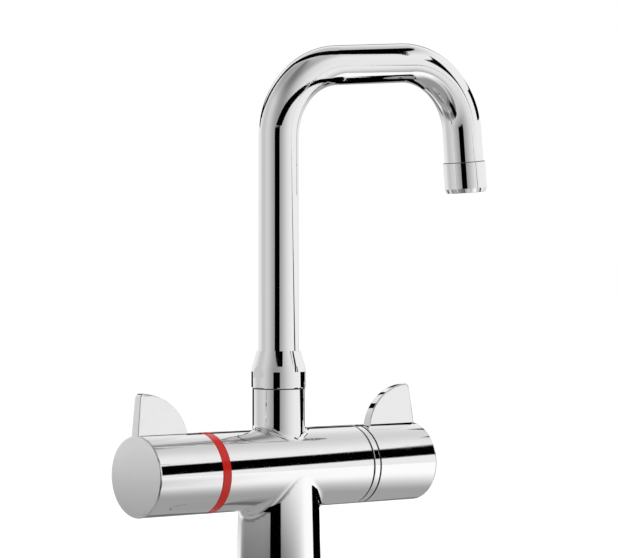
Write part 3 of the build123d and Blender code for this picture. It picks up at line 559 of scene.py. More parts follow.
class Surface:
    """A face whose exact normals are known.

    A corner takes them where its own face's normal agrees: where the cosine
    of the angle between the two is over the agreement.
    """

    agreement = 0.975

    def match(self, points: np.ndarray) -> tuple[np.ndarray, np.ndarray]:
        """Find the points on the face, and the outward normal at every point."""
        raise NotImplementedError


@dataclass
class Round(Surface):
    """A cylinder or cone.

    A point at distance s along the axis belongs to it where its distance from
    the axis is the radius there, which goes evenly from start to end.
    """

    origin: np.ndarray
    axis: np.ndarray
    start: float
    end: float
    start_radius: float
    end_radius: float

    def match(self, points: np.ndarray) -> tuple[np.ndarray, np.ndarray]:
        """Find the points that lie on the face.

        Args:
            points: Points in millimetres, (n, 3).

        Returns:
            A mask of the points on it, and the outward normal at every point.
        """
        along = (points - self.origin) @ self.axis
        spoke = (points - self.origin) - along[:, None] * self.axis
        distance = np.linalg.norm(spoke, axis=1)
        share = (along - self.start) / (self.end - self.start)
        radius = self.start_radius + share * (self.end_radius - self.start_radius)
        slope = (self.end_radius - self.start_radius) / (self.end - self.start)
        on_it = (np.abs(distance - radius) < TOUCH) & (share > -0.001) & (share < 1.001)
        return on_it, unit(unit(spoke) - slope * self.axis)


@dataclass
class Dome(Surface):
    """A shallow ball-shaped face about a centre."""

    centre: np.ndarray
    radius: float

    def match(self, points: np.ndarray) -> tuple[np.ndarray, np.ndarray]:
        """Find the points on the ball and the normals there."""
        spoke = points - self.centre
        return np.abs(np.linalg.norm(spoke, axis=1) - self.radius) < TOUCH, unit(spoke)


def merged_copy(name: str, node: str) -> bpy.types.Object:
    """Copy a CAD node and join its triangles.

    Args:
        name: The piece's name.
        node: The CAD node.

    Returns:
        The copy, at the origin.
    """
    mesh = frame["nodes"][node].data.copy()
    mesh.name = name
    work = bmesh.new()
    work.from_mesh(mesh)
    bmesh.ops.remove_doubles(work, verts=work.verts, dist=2 * TINY)
    bmesh.ops.dissolve_degenerate(work, edges=work.edges, dist=TINY)
    work.to_mesh(mesh)
    work.free()
    mesh.materials.clear()
    return add_object(name, mesh)


def set_exact_normals(piece: bpy.types.Object, faces: Sequence[Surface], sharp: float = 32.0) -> None:
    """Give the known faces of a copy their exact normals.

    Other corners take the mean of their faces' normals weighted by area, so
    that flat faces stay flat beside small fillets.

    Args:
        piece: The object.
        faces: Its known faces.
        sharp: Edges turning more than this many degrees stay sharp.
    """
    work = bmesh.new()
    work.from_mesh(piece.data)
    for edge in work.edges:
        edge.smooth = len(edge.link_faces) == 2 and edge.calc_face_angle(0.0) < math.radians(sharp)
    for face in work.faces:
        face.smooth = True
    work.to_mesh(piece.data)
    work.free()
    weigh = piece.modifiers.new("weigh", "WEIGHTED_NORMAL")
    weigh.mode = "FACE_AREA"
    weigh.keep_sharp = True
    graph = bpy.context.evaluated_depsgraph_get()
    weighed = bpy.data.meshes.new_from_object(piece.evaluated_get(graph))
    piece.modifiers.clear()
    normals = read_vectors(weighed.corner_normals, "vector")
    corner_of = np.empty(len(weighed.loops), np.int32)
    weighed.loops.foreach_get("vertex_index", corner_of)
    points = read_vectors(weighed.vertices, "co")[corner_of] / MM
    totals = np.empty(len(weighed.polygons), np.int32)
    weighed.polygons.foreach_get("loop_total", totals)
    ways = read_vectors(weighed.polygons, "normal")[np.repeat(np.arange(len(totals)), totals)]
    best = np.zeros(len(points))
    for face in faces:
        on_it, exact = face.match(points)
        agree = (ways * exact).sum(1)
        on_it &= np.abs(agree) > np.maximum(face.agreement, best)
        normals[on_it] = exact[on_it] * np.sign(agree[on_it])[:, None]
        best[on_it] = np.abs(agree[on_it])
    piece.data = weighed
    weighed.name = piece.name
    weighed.normals_split_custom_set(normals.tolist())


def read_vectors(items: Any, attribute: str) -> np.ndarray:
    """Read a vector attribute of a mesh.

    Args:
        items: The vertices, corners or faces.
        attribute: The attribute's name.

    Returns:
        The vectors, (n, 3).
    """
    flat = np.empty(len(items) * 3, np.float32)
    items.foreach_get(attribute, flat)
    return flat.reshape(-1, 3).astype(float)


def polished_copy(name: str, node: str, faces: Sequence[Surface]) -> bpy.types.Object:
    """Copy a CAD node and give its known faces their exact normals.

    Args:
        name: The piece's name.
        node: The CAD node.
        faces: Its known faces.

    Returns:
        The copy.
    """
    piece = merged_copy(name, node)
    set_exact_normals(piece, faces)
    return piece


def finish_piece(piece: bpy.types.Object, body: str, slot: str, node: str) -> None:
    """Give a piece its finish, its body and the node that it stands for.

    Args:
        piece: The object.
        body: The body that it rides on.
        slot: The record's material slot, which is the finish's name too.
        node: The CAD node that it replaces.
    """
    piece.data.materials.clear()
    piece.data.materials.append(MATERIALS[slot])
    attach(piece, body)
    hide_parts(node)
    log.info("%s on %s, %d faces", piece.name, body, len(piece.data.polygons))


def refinish_faces(piece: bpy.types.Object, look: str, chosen: np.ndarray) -> None:
    """Give some faces of a piece a second finish.

    Args:
        piece: The object.
        look: The second finish's name.
        chosen: A mask of the faces.
    """
    piece.data.materials.append(MATERIALS[look])
    piece.data.polygons.foreach_set("material_index", chosen.astype(np.int32))
    piece.data.update()


# Sub-assemblies


@dataclass
class BlendedSkin(Surface):
    """Outside of the casting as the zero of a distance function.

    The distances a and b to two of its faces, whose normals make an angle with
    cosine c, are joined by a rolling ball of radius R. With u = R - a and
    v = R - b, the skin between the ball's touching lines (u > c v and v > c u)
    is at R - sqrt((u^2 + v^2 - 2 c u v) / (1 - c^2)), and min(a, b) elsewhere.
    Faces that meet flush run into each other without a crease or a bulge.
    """

    barrel_radius: float
    pedestal_top: float
    pedestal_base: float
    seat: float
    stub_radius: float
    saddle: float = 6.0
    stub_blend: float = 3.5
    agreement: float = 0.5

    @staticmethod
    def meet(wall: np.ndarray, end: np.ndarray) -> np.ndarray:
        """Distance to the corner where a wall and an end face meet."""
        outside = np.hypot(np.maximum(wall, 0.0), np.maximum(end, 0.0))
        return outside + np.minimum(np.maximum(wall, end), 0.0)

    @staticmethod
    def join(first: np.ndarray, second: np.ndarray, cosine: np.ndarray, radius: Any) -> np.ndarray:
        """Join two distances by a rolling ball.

        Args:
            first: Distance to one face.
            second: Distance to the other.
            cosine: Cosine of the angle between their normals.
            radius: The ball's radius.

        Returns:
            Distance to the joined skin.
        """
        u, v = radius - first, radius - second
        between = (u > cosine * v) & (v > cosine * u) & (u + v > 0)
        ball = np.sqrt(np.maximum(u**2 + v**2 - 2 * cosine * u * v, 0.0) / (1 - cosine**2))
        return np.where(between, radius - ball, np.minimum(first, second))

    def distance(self, points: np.ndarray) -> np.ndarray:
        """Distance from the skin.

        The barrel lies along x. The pedestal's wall leans in evenly from the
        seat to the barrel's axis and ends there, and the stub starts there.

        Args:
            points: Points in millimetres, (n, 3).

        Returns:
            Distances, positive outside.
        """
        x, y, z = points.T
        above = z - AXIS_HEIGHT
        barrel = np.hypot(y, above) - self.barrel_radius
        share = np.clip((z - self.seat) / (AXIS_HEIGHT - self.seat), -1.0, 1.0)
        spoke = np.hypot(x, y)
        wall = spoke - (self.pedestal_base + share * (self.pedestal_top - self.pedestal_base))
        wall *= math.cos(math.atan((self.pedestal_base - self.pedestal_top) / AXIS_HEIGHT))
        pedestal = self.meet(wall, above)
        stub = self.meet(spoke - self.stub_radius, -above)
        cosine = np.clip(y**2 / np.maximum(np.hypot(y, above) * spoke, 1e-9), 0.0, ALMOST_ONE)
        lower = self.join(barrel, pedestal, cosine, np.where(above < 0, self.saddle, CREASE))
        return self.join(lower, stub, cosine, np.where(above > 0, self.stub_blend, CREASE))

    def slope(self, points: np.ndarray) -> np.ndarray:
        """Outward direction, from differences over a short step each way.

        Args:
            points: Points in millimetres, (n, 3).

        Returns:
            Unit normals, (n, 3).
        """
        steps = np.eye(3) * (TOUCH / 2)
        parts = [self.distance(points + step) - self.distance(points - step) for step in steps]
        return unit(np.stack(parts, 1))

    def match(self, points: np.ndarray) -> tuple[np.ndarray, np.ndarray]:
        """Find the points on the skin and the normals there."""
        return np.abs(self.distance(points)) < 2 * TOUCH, self.slope(points)


@dataclass
class Casting:
    """The pedestal, barrel and stub."""

    barrel_radius: float = 21.8
    pedestal_top: float = 21.6
    pedestal_base: float = 24.4
    seat: float = 0.5
    stub_radius: float = 14.3
    stub_top: float = 139.0
    low: float = 62.0
    high: float = 132.0
    reach: float = 47.0
    depth: float = 21.0
    cell: float = 1.6
    near: float = 1.7  # how far the CAD's faces may lie from the blended skin
    seat_margin: float = 0.2
    passes: int = 3
    # height above which the stub's top band, in the gap under the nut, gets painted shade
    shade: float = 138.45

    def cut_finely(self, piece: bpy.types.Object, skin: BlendedSkin) -> None:
        """Cut the outside round the blends by planes a cell apart across each axis.

        Args:
            piece: The casting.
            skin: Its blended skin.
        """
        work = bmesh.new()
        work.from_mesh(piece.data)
        points = np.array([vertex.co for vertex in work.verts]) / MM
        outside = np.abs(skin.distance(points)) < self.near
        outside &= (points[:, 2] > self.seat + self.seat_margin) & (points[:, 2] < self.stub_top)
        flags = outside.tolist()
        work.verts.index_update()
        near = [
            face
            for face in work.faces
            if all(flags[vertex.index] for vertex in face.verts)
            and abs(face.normal.z) < ALMOST_ONE
            and max(vertex.co.z for vertex in face.verts) > self.low * MM
        ]
        spans = (
            ((1, 0, 0), -self.reach, self.reach),
            ((0, 0, 1), self.low, self.high),
            ((0, 1, 0), -self.depth, self.depth),
        )
        for way, start, end in spans:
            # an extra cut at the shade height bounds the band of painted shade under the nut
            for place in [*np.arange(start, end, self.cell), *((self.shade,) if way[2] else ())]:
                edges = {edge for face in near for edge in face.edges}
                corners = {vertex for face in near for vertex in face.verts}
                cut = bmesh.ops.bisect_plane(
                    work,
                    geom=list(corners) + list(edges) + near,
                    dist=TINY,
                    plane_co=Vector(way) * float(place * MM),
                    plane_no=Vector(way),
                )
                near = [item for item in cut["geom"] if isinstance(item, bmesh.types.BMFace)]
        bmesh.ops.triangulate(work, faces=near)
        work.to_mesh(piece.data)
        work.free()

    def lay_on(self, piece: bpy.types.Object, skin: BlendedSkin) -> None:
        """Move each point near the skin along the normal by its distance, a few times over.

        Args:
            piece: The casting.
            skin: Its blended skin.
        """
        points = read_vectors(piece.data.vertices, "co") / MM
        for _ in range(self.passes):
            gap = skin.distance(points)
            moved = (np.abs(gap) < self.near) & (points[:, 2] > self.low) & (points[:, 2] < self.high)
            moved &= np.abs(points[:, 0]) < self.reach
            points[moved] -= gap[moved, None] * skin.slope(points[moved])
        piece.data.vertices.foreach_set("co", (points * MM).astype(np.float32).ravel())
        piece.data.update()

    def build(self) -> None:
        """Make the casting and lay its outside on the blended skin."""
        skin = BlendedSkin(
            self.barrel_radius, self.pedestal_top, self.pedestal_base, self.seat, self.stub_radius
        )
        piece = merged_copy("casting", "mixer_body")
        self.cut_finely(piece, skin)
        self.lay_on(piece, skin)
        set_exact_normals(piece, [skin])
        finish_piece(piece, "mixer", "chrome", "mixer_body")
        heights = read_vectors(piece.data.polygons, "center")[:, 2] / MM
        # painted shade: faces above the shade height, in the gap under the nut, get the near-black gap finish
        refinish_faces(piece, "gap", heights > self.shade)


@dataclass
class EndRings:
    """The red ring and the plain ring between casting and handles."""

    start: float = 50.2
    end: float = 55.6
    bore: float = 17.8
    radius: float = 21.8
    hub: float = 19.8
    groove: float = 1.1
    rounding: float = 0.35
    edge: float = 0.1
    lip: float = 0.25
    lit_depth: float = 0.4  # how deep light reaches into a groove

    def build(self) -> None:
        """Make both rings."""
        red = turned_piece(
            "red_ring",
            [
                (self.start, self.bore, self.edge),
                (self.start, self.radius, self.rounding),
                (self.end, self.radius, self.rounding),
                (self.end, self.bore, self.edge),
            ],
            barrel_place(-1),
        )
        finish_piece(red, "mixer", "red_plastic", "temperature_ring")
        plain = turned_piece(
            "plain_ring",
            [
                (self.start, self.bore, self.edge),
                (self.start, self.hub, self.edge),
                (self.start + self.groove, self.hub, self.edge),
                (self.start + self.groove, self.radius, self.lip),
                (self.end - self.groove / 2, self.radius, self.lip),
                (self.end - self.groove / 2, self.hub, self.edge),
                (self.end, self.hub, self.edge),
                (self.end, self.bore, self.edge),
            ],
            barrel_place(1),
        )
        finish_piece(plain, "mixer", "chrome", "flow_ring")
        # painted shade: the plain ring's groove floors, deeper than the lit depth, get the near-black gap
        # finish
        centres = read_vectors(plain.data.polygons, "center") / MM - BARREL_CENTRE
        refinish_faces(plain, "gap", np.hypot(centres[:, 1], centres[:, 2]) < self.radius - self.lit_depth)


@dataclass
class Handle:
    """A finned handle: its side and what it turns with."""

    name: str
    side: int
    body: str
    radius: float = 21.8
    start: float = 56.0
    rim: float = 97.6
    corner: float = 1.2
    dome: float = 0.8
    end_depth: float = 4.0
    end_agreement: float = 0.9  # cosine to the axis of the faces of the end

    def build(self) -> None:
        """Make the handle, with a satin end inside its polished rim.

        The end is a shallow dome of height h over a flat of radius f, part of
        a ball of radius (f^2 + h^2) / (2 h).
        """
        flat = self.radius - self.corner
        ball = (flat**2 + self.dome**2) / (2 * self.dome)
        axis = X_AXIS * self.side
        faces = [
            Round(BARREL_CENTRE, axis, self.start, self.rim - self.corner, self.radius, self.radius),
            Dome(BARREL_CENTRE + axis * (self.rim + self.dome - ball), ball),
        ]
        piece = polished_copy(f"{self.name}_shell", self.name, faces)
        finish_piece(piece, self.body, "chrome", self.name)
        centres = read_vectors(piece.data.polygons, "center") / MM
        ways = read_vectors(piece.data.polygons, "normal")
        end_face = ways @ axis > self.end_agreement
        end_face &= centres @ axis > self.rim - self.corner - self.end_depth
        refinish_faces(piece, "satin", end_face)


@dataclass
class Spout:
    """The union nut, bent tube and aerator shell."""

    tube_radius: float = 11.0
    wall: float = 1.0
    start: float = 148.55
    riser_top: float = 275.8
    bend: float = 40.5
    first_turn: float = 86.5
    second_turn: float = 88.5
    run: float = 44.5
    outlet: float = 17.8
    heading: float = -6.0
    nut_radius: float = 14.85
    nut_base: float = 139.15
    cone_start: float = 148.0
    cone_middle: float = 151.0
    cone_middle_radius: float = 14.3
    nut_top: float = 159.3
    nut_top_radius: float = 11.9
    shell_radius: float = 11.9
    shell_bore: float = 10.8
    shell_tip_radius: float = 11.0
    shell_mouth: float = 9.4
    shell_gap: float = 0.12
    shell_taper: float = 15.1
    shell_ledge: float = 13.7
    shell_end: float = 17.5
    shaded_rim: float = 0.4  # width of the painted shade line in the gap at the shell's top

    @property
    def sideways(self) -> np.ndarray:
        """Direction at right angles to the bow's plane, towards the user."""
        head = math.radians(self.heading)
        return np.array([math.sin(head), -math.cos(head), 0.0])

    def centre_line(self, spacing: float = 1.2) -> tuple[np.ndarray, np.ndarray]:
        """Points and directions of the tube's centre line.

        The line is a riser, an arc of radius bend through first_turn, a
        straight run, an arc through second_turn and a straight outlet, laid
        end to end in the upright plane at the heading. Its direction at arc
        length t is (sin a, cos a), where a is the turn so far, and each arc is
        the centre plus the radius times the turned normal.

        Args:
            spacing: Distance between points on the arcs.

        Returns:
            Points (n, 3) and unit directions (n, 3).
        """
        flat = [np.array([[0.0, self.start], [0.0, self.riser_top]])]
        ways = [np.zeros(2)]
        angle = 0.0
        tip = np.array([0.0, self.riser_top])
        for turn, straight in ((self.first_turn, self.run), (self.second_turn, self.outlet)):
            steps = int(self.bend * math.radians(turn) / spacing)
            swing = angle + np.radians(np.linspace(0.0, turn, steps + 1))
            centre = tip + self.bend * np.array([math.cos(angle), -math.sin(angle)])
            arc = centre + self.bend * np.stack([-np.cos(swing), np.sin(swing)], 1)
            flat.append(arc[1:])
            ways.append(swing[1:])
            angle = float(swing[-1])
            tip = arc[-1] + straight * np.array([math.sin(angle), math.cos(angle)])
            flat.append(tip[None])
            ways.append(np.array([angle]))
        path, turned = np.concatenate(flat), np.concatenate(ways)
        head = math.radians(self.heading)
        forward = np.array([math.cos(head), math.sin(head), 0.0])
        points = path[:, :1] * forward + path[:, 1:] * Z_AXIS
        directions = np.sin(turned)[:, None] * forward + np.cos(turned)[:, None] * Z_AXIS
        return points, directions

    def build_tube(self) -> None:
        """Carry the wall's section along the centre line.

        Ring k is centre + r * (cos b * up + sin b * sideways), with up in the
        spout's plane at right angles to the line, outside surface first and
        the bore on the way back.
        """
        points, ways = self.centre_line()
        sideways = self.sideways
        up = np.cross(sideways, ways)
        around = np.linspace(0.0, 2 * np.pi, 128, endpoint=False)
        spokes = np.cos(around)[None, :, None] * up[:, None] + np.sin(around)[None, :, None] * sideways
        outer = points[:, None] + self.tube_radius * spokes
        inner = points[::-1, None] + (self.tube_radius - self.wall) * spokes[::-1]
        surface = np.concatenate([outer, inner])
        normals = np.concatenate([spokes, -spokes[::-1]])
        tube = grid_mesh("spout_bow", surface, normals, True, True)
        finish_piece(tube, "spout", "chrome", "spout_tube")

    def build_nut(self) -> None:
        """Make the union nut."""
        steps = (
            (self.nut_base, self.nut_radius),
            (self.cone_start, self.nut_radius),
            (self.cone_middle, self.cone_middle_radius),
            (self.nut_top, self.nut_top_radius),
        )
        faces = [
            Round(np.zeros(3), Z_AXIS, low, high, radius, next_radius)
            for (low, radius), (high, next_radius) in zip(steps, steps[1:])
        ]
        finish_piece(polished_copy("union_nut", "spout_nut", faces), "mixer", "chrome", "spout_nut")

    def build_aerator(self) -> None:
        """Make the aerator's shell on the outlet's axis."""
        points, ways = self.centre_line()
        shell = turned_piece(
            "aerator_shell",
            [
                (self.shell_gap, self.shell_bore, 0.05),
                (self.shell_gap, self.shell_radius, 0.3),
                (self.shell_taper, self.shell_radius, 0.6),
                (self.shell_end, self.shell_tip_radius, 0.35),
                (self.shell_end, self.shell_mouth, 0.35),
                (self.shell_ledge, self.shell_mouth, 0.1),
                (self.shell_ledge, self.shell_bore, 0.1),
            ],
            Placement(points[-1], ways[-1], self.sideways),
        )
        finish_piece(shell, "spout", "chrome", "aerator_housing")
        # painted shade: the shell's rim next to the tube, within the shaded rim's width, gets the near-black
        # gap finish
        along = (read_vectors(shell.data.polygons, "center") / MM - points[-1]) @ ways[-1]
        refinish_faces(shell, "gap", along < self.shaded_rim)

    def build(self) -> None:
        """Make the spout's pieces."""
        self.build_tube()
        self.build_nut()
        self.build_aerator()


@dataclass
class Foot:
    """The threaded studs below the seat."""

    offset: float = 11.0
    radius: float = 3.0
    pitch: float = 1.0
    depth: float = 0.58
    flank: float = 2.6
    crest: float = 0.15
    taper: float = 0.7
    columns: int = 28
    rows_per_turn: int = 8

    def build(self) -> None:
        """Thread the studs.

        At height z and angle a the radius is the outer radius less the depth
        times flank * p - crest, kept between 0 and 1, where p is the distance
        of (z / pitch - a / turn) from the nearest whole number. Towards the
        ends it falls by the taper, at 45 degrees.
        """
        bottom, top = (corner.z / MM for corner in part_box("fixing_studs"))
        rows = int((top - bottom) / self.pitch * self.rows_per_turn) + 1
        heights = np.linspace(bottom, top, rows)
        angles = np.linspace(0.0, 2 * np.pi, self.columns, endpoint=False)
        phase = heights[:, None] / self.pitch - angles[None] / (2 * np.pi)
        tooth = np.clip(np.abs(phase - np.round(phase)) * self.flank - self.crest, 0.0, 1.0)
        near_end = np.minimum(heights - bottom, top - heights)[:, None]
        radius = np.minimum(self.radius - self.depth * tooth, self.radius - self.taper + near_end)
        for side, name in ((-1, "stud_left"), (1, "stud_right")):
            points = np.stack(
                [
                    side * self.offset + radius * np.cos(angles),
                    radius * np.sin(angles),
                    np.broadcast_to(heights[:, None], radius.shape),
                ],
                -1,
            )
            low, high = (
                np.broadcast_to([side * self.offset, 0.0, z], (1, self.columns, 3)) for z in (bottom, top)
            )
            points = np.concatenate([low, points, high])
            spokes = (points - side * self.offset * X_AXIS) * (1.0 - Z_AXIS)
            along = np.gradient(points, axis=0)
            around = (np.roll(points, -1, 1) - np.roll(points, 1, 1)) / 2
            normals = np.cross(around, along)
            normals *= np.sign((normals * spokes).sum(-1, keepdims=True) + 1e-9)
            normals[0], normals[-1] = -Z_AXIS, Z_AXIS
            stud = grid_mesh(name, points, unit(normals), False, True)
            finish_piece(stud, "mixer", "steel", "fixing_studs")


def dress_cad_nodes() -> None:
    """Give every CAD node the finish of its slot."""
    look = {entry["node"]: entry["material_slot"] for entry in frame["record"]["subparts"]}
    for name, node in frame["nodes"].items():
        node.data.materials.clear()
        node.data.materials.append(MATERIALS[look[name]])


# Studio


# Low wall: turn and screen tone where its panels start, change and end.
LOW_WALL = (
    (-180.0, 0.90), (-136.0, 0.93), (-127.0, 0.88), (-117.0, 0.55), (-104.0, 0.45), (-42.0, 0.44),
    (-23.0, 0.40), (-21.5, 0.0), (6.0, 0.0), (7.5, 0.38), (38.0, 0.56), (56.0, 0.73), (76.0, 0.96),
    (87.0, 0.98), (107.0, 0.98), (108.5, 0.0), (159.0, 0.0), (161.0, 0.60), (180.0, 0.70),
)
LOW_WALL_ROWS = (
    *(82.0, 64.0, 45.0, 20.0, -10.0, -30.0, -44.0, -47.0),
    *np.arange(-60.0, -190.0, -20.0),
    *(-198.0, -202.0, -230.0, -260.0, -295.0, -330.0),
)
# Dark strips of the bow: distance from the top of the riser, then the middle
# and half width in degrees round the tube from the outside of the bow.
INNER_STRIP = (
    (5.0, 55.0, 8.0), (16.0, 68.5, 8.3), (31.0, 93.0, 6.5), (46.0, 123.0, 6.2), (51.0, 131.5, 6.5),
    (56.0, 137.0, 7.0), (61.0, 139.5, 7.5), (97.0, 142.0, 8.0), (106.0, 151.5, 7.0), (128.0, 180.5, 7.5),
)
OUTER_STRIP = (
    (5.0, -12.0, 0.5), (10.0, -10.5, 2.5), (15.0, -7.0, 6.0), (26.0, 4.0, 4.0), (36.0, 12.0, 5.5),
    (41.0, 22.5, 8.0), (51.0, 43.0, 8.3), (56.0, 50.0, 8.0), (61.0, 53.0, 7.0), (97.0, 56.0, 8.0),
    (106.0, 65.0, 9.0),
)


@dataclass(frozen=True)
class Tent:
    """The pale tent that polished metal sees, as screen tones by direction.

    The tone starts at pale and falls by broad shades towards the camera, to
    the left, towards the ground and towards the ceiling. The slits between
    its panels are dark. Angles are in degrees, as in the studio.
    """

    pale: float = 0.94
    front_shade: float = 0.36
    left_shade: float = 0.16
    ground_shade: float = 0.38
    ceiling_shade: float = 0.2
    rear_slit_depth: float = 0.8

    def tone(self, turn: Value, rise: Value) -> Value:
        """Screen tone in a direction.

        Args:
            turn: Its turn.
            rise: Its rise.

        Returns:
            The tone.
        """
        below = -rise + abs(turn).rise(105.0, 165.0) * 24
        front = turn.bell(-9.0, 48.0) * (1 - below.rise(10.0, 35.0))
        tone = self.pale - front * self.front_shade - turn.bell(-98.0, 26.0) * self.left_shade
        tone = tone * (1 - below.rise(15.0, 50.0) * self.ground_shade)
        tone = tone * (1 - rise.rise(34.0, 60.0) * self.ceiling_shade)
        camera_slit = turn.within(-21.5, 6.0, 1.5) * (1 - abs(rise).rise(8.0, 12.0))
        lower_edge = (rise - turn * 1.43 + 106.7).rise(-1.2, 1.2)
        upper_edge = (turn * 0.75 - rise - 37.5).rise(-1.0, 1.0)
        slanted_slit = lower_edge * upper_edge * turn.within(76.5, 105.0, 1.0)
        top_slit = rise.within(53.0, 61.0, 1.2) * turn.within(93.0, 132.0, 3.0)
        rear_slit = rise.within(12.0, 25.0, 2.0) * abs(turn).rise(164.0, 170.0) * self.rear_slit_depth
        for slit in (camera_slit, slanted_slit, top_slit, rear_slit):
            tone = tone * (1 - slit)
        return tone


@dataclass
class Studio:
    """The camera, lamps, floor, backdrop and flags.

    Directions are given by turn, the angle in degrees to the right of the way
    back to the camera, and by rise above the horizon.
    """

    tent: Tent = Tent()
    azimuth: float = 40.258
    focal: float = 3007.6
    horizon: float = 247.707
    distance: float = 1640.584
    lateral: float = -16.564
    height: float = 215.4
    width: float = 618.0
    tall: float = 558.0
    sensor: float = 36.0
    floor: float = -62.4
    soft_light: float = 0.72
    lamp_aim: float = 150.0
    card_gain: float = 1.06
    card_reach: float = 350.0  # from the tap to the backdrop and the flags
    deck_rings: tuple[float, float] = (25.0, 62.0)
    deck_tone: float = 0.6

    def __post_init__(self) -> None:
        """Work out the view's directions."""
        turn = math.radians(self.azimuth)
        self.right = np.array([math.cos(turn), -math.sin(turn), 0.0])
        self.view = np.array([math.sin(turn), math.cos(turn), 0.0])
        self.eye = -self.view * self.distance - self.right * self.lateral + Z_AXIS * self.height

    def add_camera(self) -> None:
        """Set the camera where the photograph was taken."""
        data = bpy.data.cameras.new("camera")
        data.sensor_fit = "HORIZONTAL"
        data.sensor_width = self.sensor
        data.lens = self.focal * self.sensor / self.width
        data.shift_y = -(self.tall / 2 - self.horizon) / self.width
        data.clip_start, data.clip_end = 0.05, 60.0
        camera = add_object("camera", data)
        camera.location = (self.eye * MM).tolist()
        camera.rotation_euler = Vector(self.view.tolist()).to_track_quat("-Z", "Y").to_euler()
        bpy.context.scene.camera = camera

    def reflected(self, graph: Graph) -> Value:
        """Brightness that polished metal sees in each direction.

        Args:
            graph: The world's graph.

        Returns:
            The tent's tone as light.
        """
        way = graph.node("ShaderNodeTexCoord", {}, {}).outputs["Generated"]
        up = graph.dot(way, tuple(Z_AXIS))
        side, back = graph.dot(way, tuple(self.right)), graph.dot(way, tuple(-self.view))
        rise = up._math("ARCSINE", up) * DEGREES
        turn = side._math("ARCTAN2", side, back) * DEGREES
        return self.tent.tone(turn, rise).power(DISPLAY_POWER)

    def add_world(self) -> None:
        """White for the camera, the tent for polished metal, soft light for the rest."""
        world = bpy.data.worlds.new("studio")
        world.use_nodes = True
        bpy.context.scene.world = world
        graph = Graph(world.node_tree)
        path = graph.node("ShaderNodeLightPath", {}, {})
        camera = Value(graph, path.outputs["Is Camera Ray"])
        mirror = Value(graph, path.outputs["Is Glossy Ray"])
        through = Value(graph, path.outputs["Is Transmission Ray"])
        soft = (1 - mirror) * (1 - through) * self.soft_light
        level = camera + (1 - camera) * (mirror * self.reflected(graph) + through * (1 - mirror) + soft)
        shade = graph.node("ShaderNodeCombineColor", {}, {0: level, 1: level, 2: level}).outputs[0]
        light = graph.node("ShaderNodeBackground", {}, {"Color": shade, "Strength": 1.0})
        graph.node("ShaderNodeOutputWorld", {}, {"Surface": light.outputs[0]})

    def add_floor(self) -> None:
        """Lay the pale floor; the camera sees it white, less the object's shadow."""
        reach, level = 30.0, self.floor * MM  # in metres
        ends = ((-reach, -reach), (reach, -reach), (reach, reach), (-reach, reach))
        mesh = bpy.data.meshes.new("floor")
        mesh.from_pydata([(x, y, level) for x, y in ends], [], [(0, 1, 2, 3)])
        floor = add_object("floor", mesh)
        material, graph = new_material("floor_paper")
        camera = graph.node("ShaderNodeLightPath", {}, {}).outputs["Is Camera Ray"]
        paper = graph.node("ShaderNodeBsdfDiffuse", {}, {"Color": (0.8, 0.8, 0.8)})
        glow = graph.node("ShaderNodeEmission", {}, {"Color": (1.0, 1.0, 1.0), "Strength": 0.42})
        lit = graph.node("ShaderNodeAddShader", {}, {0: paper.outputs[0], 1: glow.outputs[0]})
        both = graph.node("ShaderNodeMixShader", {}, {0: camera, 1: paper.outputs[0], 2: lit.outputs[0]})
        graph.node("ShaderNodeOutputMaterial", {}, {"Surface": both.outputs[0]})
        mesh.materials.append(material)
        floor.visible_glossy = False

    def add_card(self, name: str, grid: np.ndarray, tones: Union[float, np.ndarray]) -> None:
        """Stand a card that only polished metal sees.

        Args:
            name: The card's name.
            grid: Its points in millimetres, (rows, columns, 3).
            tones: Screen tones, one or an array that fits the grid.
        """
        rows, columns = grid.shape[:2]
        index = np.arange(rows * columns).reshape(rows, columns)
        quads = np.stack([index[:-1, :-1], index[1:, :-1], index[1:, 1:], index[:-1, 1:]], -1)
        mesh = bpy.data.meshes.new(name)
        mesh.from_pydata((grid.reshape(-1, 3) * MM).tolist(), [], quads.reshape(-1, 4).tolist())
        light = self.card_gain * np.asarray(tones, float) ** DISPLAY_POWER
        shades = np.broadcast_to(light, (rows, columns)).astype(np.float32)
        mesh.attributes.new("tone", "FLOAT", "POINT").data.foreach_set("value", shades.ravel())
        card = add_object(name, mesh)
        material, graph = new_material(name)
        shade = graph.node("ShaderNodeAttribute", {"attribute_name": "tone"}, {}).outputs["Color"]
        glow = graph.node("ShaderNodeEmission", {}, {"Color": shade, "Strength": 1.0})
        graph.node("ShaderNodeOutputMaterial", {}, {"Surface": glow.outputs[0]})
        mesh.materials.append(material)
        card.visible_camera = False
        card.visible_diffuse = False
        card.visible_shadow = False
        card.visible_transmission = False

    def ring_wall(self, turns: np.ndarray, heights: Sequence[float]) -> np.ndarray:
        """Grid of an upright round wall about the tower.

        A point at turn t is reach * (sin t * right - cos t * view).

        Args:
            turns: Turns in degrees.
            heights: Heights of the rows.

        Returns:
            The grid, (heights, turns, 3).
        """
        swing = np.radians(turns)[:, None]
        ring = self.card_reach * (np.sin(swing) * self.right - np.cos(swing) * self.view)
        return ring + np.array(heights)[:, None, None] * Z_AXIS

